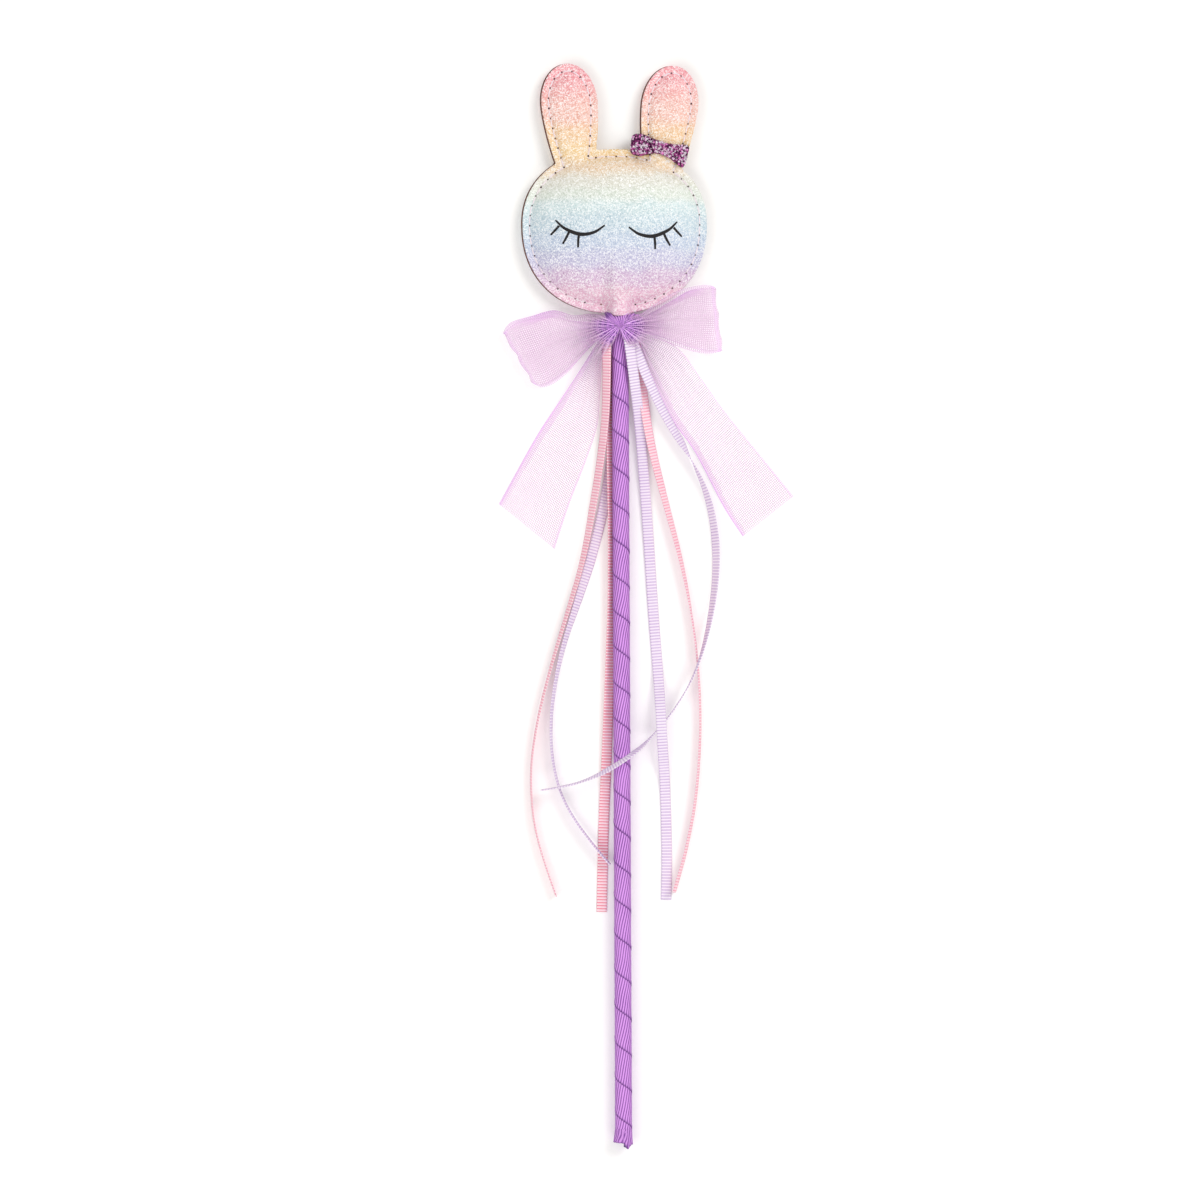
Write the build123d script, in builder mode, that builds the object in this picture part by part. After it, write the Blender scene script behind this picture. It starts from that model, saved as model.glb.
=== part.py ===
"""Fairy wand with a stuffed bunny head, a ribbon-wrapped stick, a sheer bow and six narrow streamers.

The wand lies on its back.  +Y runs up the stick to the ears, +Z points away from the surface it
lies on, and the origin is under the middle of the whole outline.  Millimetres.
"""

import os
from math import cos, pi, radians, sin, tan

from build123d import *

os.makedirs("parts", exist_ok=True)

# ---- driving dimensions -------------------------------------------------------------------------

# stick
STICK_X = -8.4  # the stick's axis, left of the outline's middle
STICK_Z = 3.43  # height of that axis: the folded end rests on the surface
DOWEL_R = 2.5
DOWEL_LENGTH = 304.8  # a 12 inch dowel
DOWEL_FOOT_Y = -180.2
WRAP_T = 0.35  # grosgrain ribbon, wound edge over edge
WRAP_R = DOWEL_R + WRAP_T
WRAP_TOP_Y = 104.0  # the winding runs a little way into the head
FOLD_R = STICK_Z
FOLD_LENGTH = 6.2
FOLD_FLOOR = 0.7  # ribbon folded over the dowel's end
FOLD_CHAMFER = 0.4

# head: an egg, wider than high, and two ears
HEAD_X, HEAD_Y = -10.05, 127.0  # centre of the widest line
HEAD_HALF_WIDTH = 30.75
HEAD_RISE = 25.2  # from the widest line to the crown
HEAD_DROP = 29.5  # from the widest line to the chin
HEAD_SQUARENESS = 2.2  # exponent of the outline, 2 is an ellipse
EAR_HALF_WIDTH = 9.4
EAR_BASE_NARROWING = 2.6
EAR_WIDE_AT = 18.5  # distance from the ear's base to its widest place
EAR_TIP = 13.4  # from there to the tip
EAR_ROOT = 7.0  # how far the ear's panel runs down into the head
LEFT_EAR = (-23.2, 149.0, 5.4)  # base centre and outward lean in degrees
RIGHT_EAR = (5.9, 149.0, -7.0)

SEAM_Z = 3.2  # the two panels meet here
PANEL_T = 0.9
FLANGE = 3.4  # flat stitched margin round the panels
FACE_TOP_Z = 12.2
FACE_INSET = 7.6  # edge to the crown of the face
BACK_INSET = 9.5  # edge to the flat belly of the back panel
EAR_TOP_Z = 5.3
EAR_INSET = 5.0
BACK_SHIFT = -0.5  # the back panel was cut a little wide of the front one, to the left
FILL_MARGIN = 0.9  # wall between filling and outer surface, across the slope

THREAD_INSET = 2.6
THREAD_WIDTH = 0.5
THREAD_T = 0.3
CHIN_GAP = 11.2  # the unstitched gap where the stick goes in

RIDGE_R = 3.9  # front fabric raised over the stick
BACK_RIDGE_R = 3.4
RIDGE_TOP_Y = 112.0
CHANNEL_R = WRAP_R + 0.1
GLUE_Y = 118.0
GLUE_LENGTH, GLUE_WIDTH, GLUE_TOP_Z = 9.0, 11.0, 2.6

# face
EYE_AXIS_X = -9.35
EYE_LINE = 0.7
LASH_LINE = 0.55
EYE_T = 0.2
EYE_ARC = [(20.2, 128.1), (12.2, 123.4), (4.15, 126.2)]  # outer end, lowest point, inner end
LASHES = [
    ((19.1, 126.1), (21.8, 123.6)),
    ((16.0, 123.9), (17.9, 120.5)),
    ((12.7, 123.1), (12.9, 119.2)),
]
EAR_BOW_T = 1.8
EAR_BOW = [
    (-3.3, 157.2), (-4.5, 151.1), (-2.0, 149.8), (3.5, 150.3), (7.0, 149.4), (12.6, 145.8),
    (14.6, 149.7), (14.6, 153.2), (6.6, 154.1), (3.4, 155.5), (-0.1, 157.1),
]

# organza bow tied round the neck
ORGANZA_T = 0.4
KNOT_X, KNOT_Z = -7.4, 4.75
KNOT_HALF_WIDTH, KNOT_HALF_HEIGHT = 8.2, 4.6
KNOT_LOW_Y, KNOT_TOP_Y = 87.0, 96.9
LOOP_Z, LOOP_HALF_GAP = 3.7, 3.3
LEFT_LOOP = [
    (-14.2, 97.2), (-23.8, 96.6), (-30.2, 98.8), (-44.6, 95.0), (-47.9, 90.8), (-43.2, 83.6),
    (-38.3, 74.2), (-34.7, 72.8), (-25.8, 77.7), (-14.2, 90.2),
]
RIGHT_LOOP = [
    (-0.6, 96.4), (4.0, 99.5), (13.6, 104.9), (20.2, 106.6), (23.2, 106.1), (25.8, 85.0),
    (15.0, 84.8), (6.1, 87.9), (-0.6, 90.8),
]
LEFT_TAIL = [
    (-15.6, 86.3), (-17.2, 85.8), (-26.1, 72.6), (-36.4, 57.1), (-49.4, 34.1), (-44.7, 29.1),
    (-30.4, 18.7), (-25.6, 33.9), (-20.1, 47.5), (-17.2, 56.0), (-15.8, 68.0),
]
RIGHT_TAIL = [
    (-0.3, 86.6), (10.0, 83.8), (18.1, 74.5), (29.7, 60.8), (49.6, 36.3), (32.2, 22.8),
    (26.1, 33.0), (20.8, 44.0), (17.4, 51.6), (11.8, 61.0), (5.6, 74.6),
]
TAIL_SIDE = [(88.0, 5.4), (76.0, 2.6), (62.0, 0.6), (15.0, 0.5)]  # Y and Z down the tails

# streamers, 3.5 mm grosgrain: points of each route from the knot to the cut end
STREAMER_WIDTH = 3.5
STREAMER_T = 0.35
PINK_OUTER_LEFT = [
    (-13.4, 85.0, 4.6), (-13.5, 68.0, 2.1), (-15.3, 50.0, 1.5), (-19.9, 22.0, 1.0),
    (-26.0, 0.5, 1.0), (-32.7, -21.6, 1.0), (-37.0, -42.0, 0.7), (-38.4, -60.0, 0.25),
    (-36.2, -79.0, 0.25), (-29.8, -96.9, 0.25),
]
LILAC_INNER_LEFT = [
    (-8.8, 84.6, 0.25), (-10.2, 64.5, 0.25), (-11.9, 43.0, 0.25), (-16.4, 22.0, 0.25),
    (-22.2, 2.5, 0.25), (-28.6, -17.0, 0.25), (-32.0, -38.0, 0.25), (-30.4, -58.0, 0.25),
    (-23.0, -73.5, 1.0), (-12.1, -86.3, 1.0),
]
PINK_UNDER_STICK = [
    (-12.6, 84.6, 0.8), (-11.9, 48.0, 0.8), (-12.0, 8.0, 0.8), (-12.9, -20.0, 0.25),
    (-14.0, -50.0, 0.25), (-14.9, -70.0, 0.25), (-15.2, -90.0, 0.25), (-15.4, -102.2, 0.25),
]
LILAC_STRAIGHT = [
    (-5.0, 84.6, 6.9), (-4.0, 77.0, 6.4), (-2.2, 63.0, 1.8), (-0.9, 47.0, 1.1),
    (0.6, 26.0, 0.4), (2.3, -3.0, 0.25), (3.9, -24.0, 0.25), (4.5, -34.0, 4.6),
    (5.1, -46.5, 4.6), (5.9, -58.0, 0.25), (6.3, -72.0, 0.25), (6.5, -85.4, 0.25),
    (6.2, -98.3, 0.25),
]
PINK_RIGHT = [
    (-2.9, 84.6, 3.4), (-1.0, 72.0, 1.9), (1.2, 55.6, 0.3), (5.8, 37.1, 0.25),
    (13.1, 10.0, 0.25), (17.3, -18.0, 0.25), (17.9, -46.0, 0.25), (15.4, -73.0, 0.25),
    (10.2, -95.8, 0.25),
]
LILAC_CROSSING = [
    (-2.9, 84.6, 5.4), (0.6, 75.5, 4.3), (7.0, 62.3, 1.5), (15.0, 49.5, 0.6),
    (21.4, 35.2, 0.4), (23.9, 17.0, 0.5), (21.9, -2.5, 1.0), (17.0, -21.3, 4.8),
    (9.0, -35.2, 0.8), (0.8, -44.6, 0.7), (-4.8, -49.2, 7.8), (-12.6, -54.2, 7.8),
    (-18.6, -57.2, 6.6), (-26.6, -59.9, 5.0), (-35.4, -61.2, 4.2),
]

TALL, WIDE = 16.0, 60.0  # larger than any streamer, for cutting to its two profiles
CORNER_SHARE = 0.45  # share of the shorter run that a corner's arc may use


# ---- outlines -----------------------------------------------------------------------------------


def egg_points(inset, count=28):
    """Points round the head's outline, drawn in by inset."""
    width = HEAD_HALF_WIDTH - inset
    points = []
    for step in range(count):
        angle = 2 * pi * step / count
        across, along = cos(angle), sin(angle)
        reach = (HEAD_RISE if along > 0 else HEAD_DROP) - inset
        points.append(
            (
                HEAD_X + width * abs(across) ** (2 / HEAD_SQUARENESS) * (1 if across > 0 else -1),
                HEAD_Y + reach * abs(along) ** (2 / HEAD_SQUARENESS) * (1 if along > 0 else -1),
            )
        )
    return points


def ear_points(place, inset):
    """Points round an ear from its left root over the tip to its right root, drawn in by inset."""
    x, y, lean = place
    side = []
    for along in (-EAR_ROOT, 0.0, 6.0, 12.0, EAR_WIDE_AT):
        short = max(0.0, EAR_WIDE_AT - along) / EAR_WIDE_AT
        side.append((EAR_HALF_WIDTH - EAR_BASE_NARROWING * short**1.6 - inset, along))
    for step in range(1, 6):
        angle = radians(step * 18)
        side.append(
            (
                (EAR_HALF_WIDTH - inset) * cos(angle),
                EAR_WIDE_AT + (EAR_TIP - inset) * sin(angle),
            )
        )
    outline = [(-w, s) for w, s in side] + [(w, s) for w, s in reversed(side[:-1])]
    turn = radians(lean)
    return [
        (x + w * cos(turn) - s * sin(turn), y + w * sin(turn) + s * cos(turn)) for w, s in outline
    ]


def egg_face(inset):
    with BuildLine() as outline:
        Spline(*egg_points(inset), periodic=True)
    make_face(outline.edges())


def ear_face(place, inset):
    points = ear_points(place, inset)
    with BuildLine() as outline:
        Spline(*points)
        Line(points[-1], points[0])
    make_face(outline.edges())


def bunny_face(inset):
    """The whole outline of head and ears, drawn in by inset."""
    egg_face(inset)
    ear_face(LEFT_EAR, inset)
    ear_face(RIGHT_EAR, inset)


def head_bulge(low_z, low_inset, high_z, high_inset, mode=Mode.ADD):
    """The head's rounded swelling between two heights."""
    with BuildSketch(Plane.XY.offset(low_z)) as low:
        egg_face(low_inset)
    with BuildSketch(Plane.XY.offset(high_z)) as high:
        egg_face(high_inset)
    loft([low.sketch, high.sketch], ruled=True, mode=mode)


def ear_bulge(place, low_z, low_inset, high_z, high_inset, mode=Mode.ADD):
    """One ear's shallow swelling between two heights."""
    with BuildSketch(Plane.XY.offset(low_z)) as low:
        ear_face(place, low_inset)
    with BuildSketch(Plane.XY.offset(high_z)) as high:
        ear_face(place, high_inset)
    loft([low.sketch, high.sketch], ruled=True, mode=mode)


def rod(radius, low_y, high_y, mode=Mode.ADD):
    """A round bar on the stick's axis."""
    with BuildSketch(Plane.XZ.offset(-low_y)) as section:
        with Locations((STICK_X, STICK_Z)):
            Circle(radius)
    extrude(section.sketch, amount=-(high_y - low_y), mode=mode)


def slab(low_z, high_z, mode):
    """Everything between two heights."""
    with BuildSketch(Plane.XY.offset(low_z)) as section:
        Rectangle(400, 400)
    extrude(section.sketch, amount=high_z - low_z, mode=mode)


def finish(part, name):
    part.label = name
    export_step(part, f"parts/{name}.step")


# ---- stick --------------------------------------------------------------------------------------

FOLD_LOW_Y = DOWEL_FOOT_Y - FOLD_FLOOR
DOWEL_TOP_Y = DOWEL_FOOT_Y + DOWEL_LENGTH

with BuildPart() as dowel:
    rod(DOWEL_R, DOWEL_FOOT_Y, DOWEL_TOP_Y)
finish(dowel.part, "dowel")

with BuildPart() as handle_wrap:
    rod(WRAP_R, DOWEL_FOOT_Y, WRAP_TOP_Y)
    rod(DOWEL_R, DOWEL_FOOT_Y, WRAP_TOP_Y, Mode.SUBTRACT)
finish(handle_wrap.part, "handle_wrap")

with BuildPart() as handle_end_fold:
    rod(FOLD_R, FOLD_LOW_Y, FOLD_LOW_Y + FOLD_LENGTH)
    chamfer(handle_end_fold.faces().sort_by(Axis.Y)[0].edges(), FOLD_CHAMFER)
    rod(WRAP_R, DOWEL_FOOT_Y, WRAP_TOP_Y, Mode.SUBTRACT)
finish(handle_end_fold.part, "handle_end_fold")

# ---- head ---------------------------------------------------------------------------------------

FILL_INSET = FLANGE + FILL_MARGIN

with BuildPart() as head_glue:
    with BuildSketch(Plane.XY.offset(PANEL_T)):
        with Locations((STICK_X, GLUE_Y)):
            RectangleRounded(GLUE_WIDTH, GLUE_LENGTH, 3.0)
    extrude(amount=GLUE_TOP_Z - PANEL_T)
    rod(DOWEL_R, DOWEL_FOOT_Y, DOWEL_TOP_Y, Mode.SUBTRACT)
finish(head_glue.part, "head_glue")

with BuildPart() as face_room:
    head_bulge(SEAM_Z, FILL_INSET, PANEL_T, BACK_INSET + FILL_MARGIN / 2)
    head_bulge(SEAM_Z, FILL_INSET, FACE_TOP_Z - PANEL_T, FACE_INSET + FILL_MARGIN)

with BuildPart() as head_stuffing:
    add(face_room.part)
    rod(CHANNEL_R, KNOT_LOW_Y, RIDGE_TOP_Y, Mode.SUBTRACT)
    rod(DOWEL_R, DOWEL_FOOT_Y, DOWEL_TOP_Y, Mode.SUBTRACT)
    add(head_glue.part, mode=Mode.SUBTRACT)
finish(head_stuffing.part, "head_stuffing")

ear_rooms = {}
for side, place in (("left", LEFT_EAR), ("right", RIGHT_EAR)):
    with BuildPart() as ear_stuffing:
        ear_bulge(place, SEAM_Z, FILL_INSET, EAR_TOP_Z - PANEL_T, EAR_INSET + FILL_MARGIN / 2)
        add(face_room.part, mode=Mode.SUBTRACT)
    ear_rooms[side] = ear_stuffing.part
    finish(ear_stuffing.part, f"{side}_ear_stuffing")

with BuildPart() as head_front_panel:
    with BuildSketch(Plane.XY.offset(SEAM_Z)):
        bunny_face(0)
    extrude(amount=PANEL_T)
    head_bulge(SEAM_Z + PANEL_T, FLANGE, FACE_TOP_Z, FACE_INSET)
    for place in (LEFT_EAR, RIGHT_EAR):
        ear_bulge(place, SEAM_Z + PANEL_T, FLANGE, EAR_TOP_Z, EAR_INSET)
    rod(RIDGE_R, HEAD_Y - HEAD_DROP + 0.2, RIDGE_TOP_Y)
    slab(-20, SEAM_Z, Mode.SUBTRACT)
    add(face_room.part, mode=Mode.SUBTRACT)
    for room in ear_rooms.values():
        add(room, mode=Mode.SUBTRACT)
    rod(CHANNEL_R, KNOT_LOW_Y, RIDGE_TOP_Y, Mode.SUBTRACT)
finish(head_front_panel.part, "head_front_panel")

with BuildPart() as head_back_panel:
    with BuildSketch(Plane.XY.offset(SEAM_Z - PANEL_T)):
        bunny_face(0)
    extrude(amount=PANEL_T)
    with BuildSketch(Plane((BACK_SHIFT, -BACK_SHIFT / 4, SEAM_Z - PANEL_T))):
        bunny_face(0)
    extrude(amount=PANEL_T)
    head_bulge(SEAM_Z - PANEL_T, FLANGE, 0, BACK_INSET)
    rod(BACK_RIDGE_R, HEAD_Y - HEAD_DROP + 0.2, RIDGE_TOP_Y)
    slab(SEAM_Z, 20, Mode.SUBTRACT)
    add(face_room.part, mode=Mode.SUBTRACT)
    rod(CHANNEL_R, KNOT_LOW_Y, RIDGE_TOP_Y, Mode.SUBTRACT)
finish(head_back_panel.part, "head_back_panel")

for name, low_z in (
    ("needle_thread", SEAM_Z + PANEL_T),
    ("bobbin_thread", SEAM_Z - PANEL_T - THREAD_T),
):
    with BuildPart() as thread:
        with BuildSketch(Plane.XY.offset(low_z)):
            bunny_face(THREAD_INSET - THREAD_WIDTH / 2)
        extrude(amount=THREAD_T)
        with BuildSketch(Plane.XY.offset(low_z)):
            bunny_face(THREAD_INSET + THREAD_WIDTH / 2)
        extrude(amount=THREAD_T, mode=Mode.SUBTRACT)
        with BuildSketch(Plane.XY.offset(low_z)):
            with Locations((STICK_X, HEAD_Y - HEAD_DROP)):
                Rectangle(CHIN_GAP, 16)
        extrude(amount=THREAD_T, mode=Mode.SUBTRACT)
    finish(thread.part, name)

for name, side in (("left_eye", -1), ("right_eye", 1)):

    def place_on_face(point, side=side):
        return (EYE_AXIS_X + side * point[0], point[1])

    with BuildPart() as eye:
        with BuildSketch(Plane.XY.offset(FACE_TOP_Z)):
            with BuildLine():
                ThreePointArc(*[place_on_face(point) for point in EYE_ARC])
            trace(line_width=EYE_LINE)
            for lash in LASHES:
                with BuildLine():
                    Line(*[place_on_face(point) for point in lash])
                trace(line_width=LASH_LINE)
        extrude(amount=EYE_T)
    finish(eye.part, name)

with BuildPart() as ear_bow:
    with BuildSketch(Plane.XY.offset(EAR_TOP_Z)):
        with BuildLine():
            Polyline(*EAR_BOW, close=True)
        make_face()
    extrude(amount=EAR_BOW_T)
finish(ear_bow.part, "ear_bow")

# ---- organza bow --------------------------------------------------------------------------------

with BuildPart() as bow_knot:
    with BuildSketch(Plane.XZ.offset(-KNOT_LOW_Y)):
        with Locations((KNOT_X, KNOT_Z)):
            Ellipse(KNOT_HALF_WIDTH, KNOT_HALF_HEIGHT)
    extrude(amount=-(KNOT_TOP_Y - KNOT_LOW_Y))
    rod(WRAP_R, DOWEL_FOOT_Y, WRAP_TOP_Y, Mode.SUBTRACT)
finish(bow_knot.part, "bow_knot")

for name, outline, root_x, tip_x in (
    ("bow_left_loop", LEFT_LOOP, -13.0, -48.4),
    ("bow_right_loop", RIGHT_LOOP, -1.8, 26.3),
):
    with BuildPart() as loop:
        with BuildSketch(Plane.XY):
            with BuildLine():
                Polyline(*outline, close=True)
            make_face()
        extrude(amount=TALL)
        with BuildSketch(Plane.XZ.offset(-110)):
            middle = (root_x + tip_x) / 2
            with BuildLine():
                root, tip = (root_x, LOOP_Z), (tip_x, LOOP_Z)
                ThreePointArc(root, (middle, LOOP_Z + LOOP_HALF_GAP), tip)
                ThreePointArc(tip, (middle, LOOP_Z - LOOP_HALF_GAP), root)
            make_face()
            offset(amount=-ORGANZA_T, mode=Mode.SUBTRACT)
        extrude(amount=50, mode=Mode.INTERSECT)
        add(bow_knot.part, mode=Mode.SUBTRACT)
    finish(loop.part, name)

for name, outline in (("bow_left_tail", LEFT_TAIL), ("bow_right_tail", RIGHT_TAIL)):
    with BuildPart() as tail:
        with BuildSketch(Plane.XY):
            with BuildLine():
                Polyline(*outline, close=True)
            make_face()
        extrude(amount=TALL)
        with BuildSketch(Plane.YZ):
            with BuildLine():
                Polyline(*TAIL_SIDE)
            trace(line_width=ORGANZA_T)
        extrude(amount=WIDE, both=True, mode=Mode.INTERSECT)
    finish(tail.part, name)

# ---- streamers ----------------------------------------------------------------------------------


def turn_at(before, here, after):
    """Degrees by which a route turns at one of its points."""
    return (Vector(*here) - Vector(*before)).get_angle(Vector(*after) - Vector(*here))


def bends(points):
    """The route without the points where it runs straight on."""
    kept = [points[0]]
    for here, after in zip(points[1:], points[2:]):
        if turn_at(kept[-1], here, after) > 0.2:
            kept.append(here)
    return kept + [points[-1]]


def corner_radii(points):
    """For each corner, an arc as large as its two runs allow."""
    radii = []
    for before, here, after in zip(points, points[1:], points[2:]):
        short = min((Vector(*here) - Vector(*p)).length for p in (before, after))
        half = radians(turn_at(before, here, after)) / 2
        radii.append(CORNER_SHARE * short / tan(half))
    return radii


def rounded_line(points):
    """Straight runs joined by tangent arcs."""
    points = bends(points)
    if len(points) == 2:
        Line(*points)
    else:
        FilletPolyline(*points, radius=corner_radii(points))


def make_streamer(name, route):
    """A flat ribbon cut to its line in plan and to its line from the side."""
    plan = [(x, y) for x, y, z in route]
    side = [(y, z) for x, y, z in route]
    with BuildPart() as streamer:
        with BuildSketch(Plane.XY):
            with BuildLine():
                rounded_line(plan)
            trace(line_width=STREAMER_WIDTH)
        extrude(amount=TALL)
        with BuildSketch(Plane.YZ):
            with BuildLine():
                rounded_line(side)
            trace(line_width=STREAMER_T)
        extrude(amount=WIDE, both=True, mode=Mode.INTERSECT)
    with BuildLine() as centre:
        FilletPolyline(*route, radius=corner_radii(route))
    length = sum(edge.length for edge in centre.edges())
    section = STREAMER_WIDTH * STREAMER_T
    print(
        f"{name}: {length:.1f} mm long, volume {streamer.part.volume / (section * length):.3f}"
        f" of section times length, radii {[round(r) for r in corner_radii(route)]}"
    )
    finish(streamer.part, name)


make_streamer("pink_streamer_outer_left", PINK_OUTER_LEFT)
make_streamer("lilac_streamer_inner_left", LILAC_INNER_LEFT)
make_streamer("pink_streamer_under_stick", PINK_UNDER_STICK)
make_streamer("lilac_streamer_straight", LILAC_STRAIGHT)
make_streamer("pink_streamer_right", PINK_RIGHT)
make_streamer("lilac_streamer_crossing", LILAC_CROSSING)
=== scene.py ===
"""Bunny fairy wand: the visual model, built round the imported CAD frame.  Metres, in the row's frame."""

import math

import bmesh
import bpy
import numpy as np
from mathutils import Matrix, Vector


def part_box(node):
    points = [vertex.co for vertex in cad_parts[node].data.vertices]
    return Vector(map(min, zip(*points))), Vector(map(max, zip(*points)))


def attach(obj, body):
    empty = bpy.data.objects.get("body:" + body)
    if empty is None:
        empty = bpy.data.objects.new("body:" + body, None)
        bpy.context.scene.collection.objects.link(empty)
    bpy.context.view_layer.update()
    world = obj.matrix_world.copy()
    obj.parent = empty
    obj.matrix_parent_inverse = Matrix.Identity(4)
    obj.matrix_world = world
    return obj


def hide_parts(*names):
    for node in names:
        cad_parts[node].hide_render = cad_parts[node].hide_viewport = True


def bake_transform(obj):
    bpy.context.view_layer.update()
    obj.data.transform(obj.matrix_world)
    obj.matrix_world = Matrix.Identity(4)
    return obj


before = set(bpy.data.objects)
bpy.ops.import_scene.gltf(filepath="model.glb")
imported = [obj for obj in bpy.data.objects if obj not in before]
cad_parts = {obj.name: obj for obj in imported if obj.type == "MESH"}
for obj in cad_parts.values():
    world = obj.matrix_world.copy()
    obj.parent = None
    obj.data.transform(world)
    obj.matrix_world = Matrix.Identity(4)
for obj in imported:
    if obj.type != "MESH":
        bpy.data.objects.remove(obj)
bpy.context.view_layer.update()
MM = 0.001
RANDOM = np.random.default_rng(7)


def box_mm(node):
    """A CAD node's lowest and highest corner, in millimetres."""
    low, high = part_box(node)
    return np.array(low) / MM, np.array(high) / MM


# ---- sizes, in millimetres, from the frame ------------------------------------------------------

dowel_low, dowel_high = box_mm("dowel")
wrap_low, wrap_high = box_mm("handle_wrap")
fold_low, fold_high = box_mm("handle_end_fold")
panel_low, panel_high = box_mm("head_front_panel")
back_low, back_high = box_mm("head_back_panel")
knot_low, knot_high = box_mm("bow_knot")

STICK_X = (dowel_low[0] + dowel_high[0]) / 2
STICK_Z = (dowel_low[2] + dowel_high[2]) / 2
DOWEL_R = (dowel_high[0] - dowel_low[0]) / 2
WRAP_R = (wrap_high[0] - wrap_low[0]) / 2
FOLD_R = (fold_high[0] - fold_low[0]) / 2
SEAM_Z = panel_low[2]
FACE_TOP_Z = panel_high[2]
HEAD_X = (panel_low[0] + panel_high[0]) / 2
HEAD_HALF_WIDTH = (panel_high[0] - panel_low[0]) / 2

# the head's outline
HEAD_RISE, HEAD_DROP = 25.2, 29.5
HEAD_Y = panel_low[1] + HEAD_DROP
SQUARENESS = 2.2
EAR_HALF_WIDTH, EAR_NARROWING, EAR_WIDE_AT, EAR_TIP, EAR_ROOT = 9.4, 2.6, 18.5, 13.4, 7.0
EAR_BASE_Y = HEAD_Y + 22.0
LEFT_EAR = (HEAD_X - 13.15, EAR_BASE_Y, 5.4)  # base centre and outward lean in degrees
RIGHT_EAR = (HEAD_X + 16.35, EAR_BASE_Y - 0.8, -7.0)
PANEL_T = 0.9
RIB_PITCH = 1.0
STITCH_INSET, STITCH_PITCH, SEAM_STEP = 2.4, 3.4, 0.1
CHIN_GAP = 11.0  # the stitches leave this much open for the stick
STICK_SHOWS = (109, 117)  # the stick stands out through the panels below, and no more above
CHIN_PUSHED = (104, 119)  # the bow pushes the chin in below, and no more above
BACK_RIDGE_R = 3.4  # the back panel's bulge over the stick
OUTLINE_STEP = 0.3
FACE_PUFF, EAR_PUFF = FACE_TOP_Z - SEAM_Z - PANEL_T + 0.4, 1.3


# ---- nodes and materials ------------------------------------------------------------------------


def add_object(name, data):
    made = bpy.data.objects.new(name, data)
    bpy.context.scene.collection.objects.link(made)
    return made


class Shader:
    """A small helper that adds nodes to one material."""

    def __init__(self, name):
        self.material = bpy.data.materials.new(name)
        self.material.use_nodes = True
        self.tree = self.material.node_tree
        self.tree.nodes.clear()
        self.output = self.tree.nodes.new("ShaderNodeOutputMaterial")
        self.surface = self.tree.nodes.new("ShaderNodeBsdfPrincipled")
        self.tree.links.new(self.surface.outputs[0], self.output.inputs[0])

    def node(self, kind, settings=None, **sockets):
        made = self.tree.nodes.new("ShaderNode" + kind)
        for name, value in (settings or {}).items():
            setattr(made, name, value)
        for name, value in sockets.items():
            self.put(made.inputs[name.replace("_", " ")], value)
        return made

    def put(self, socket, value):
        if isinstance(value, bpy.types.NodeSocket):
            self.tree.links.new(value, socket)
        else:
            socket.default_value = value

    def math(self, operation, first, second=0.5, third=0.0):
        made = self.tree.nodes.new("ShaderNodeMath")
        made.operation = operation
        for socket, value in zip(made.inputs, (first, second, third)):
            self.put(socket, value)
        return made.outputs[0]

    def mix(self, share, first, second):
        made = self.tree.nodes.new("ShaderNodeMix")
        made.data_type = "RGBA"
        for index, value in ((0, share), (6, first), (7, second)):
            self.put(made.inputs[index], value)
        return made.outputs[2]

    def ramp(self, share, stops, smooth=False):
        """Colours, or shades of grey, along a value."""
        made = self.tree.nodes.new("ShaderNodeValToRGB")
        made.color_ramp.interpolation = "EASE" if smooth else "LINEAR"
        elements = made.color_ramp.elements
        while len(elements) < len(stops):
            elements.new(0.5)
        for element, (place, shade) in zip(elements, stops):
            element.position = place
            element.color = shade if isinstance(shade, tuple) else (shade, shade, shade, 1)
        self.put(made.inputs[0], share)
        return made.outputs[0]

    def noise(self, vector, scale, detail=3.0, roughness=0.5):
        made = self.node("TexNoise", Scale=scale, Detail=detail, Roughness=roughness)
        self.put(made.inputs["Vector"], vector)
        return made.outputs["Fac"]

    def bump(self, height, distance, strength):
        return self.node("Bump", Height=height, Distance=distance, Strength=strength).outputs[0]

    def finish(self, **sockets):
        for name, value in sockets.items():
            self.put(self.surface.inputs[name.replace("_", " ")], value)
        return self.material


def colour(red, green, blue):
    """An sRGB colour, 0 to 255, as linear RGBA."""
    linear = []
    for part in (red, green, blue):
        part /= 255
        linear.append(part / 12.92 if part <= 0.04045 else ((part + 0.055) / 1.055) ** 2.4)
    return (*linear, 1.0)


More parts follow.
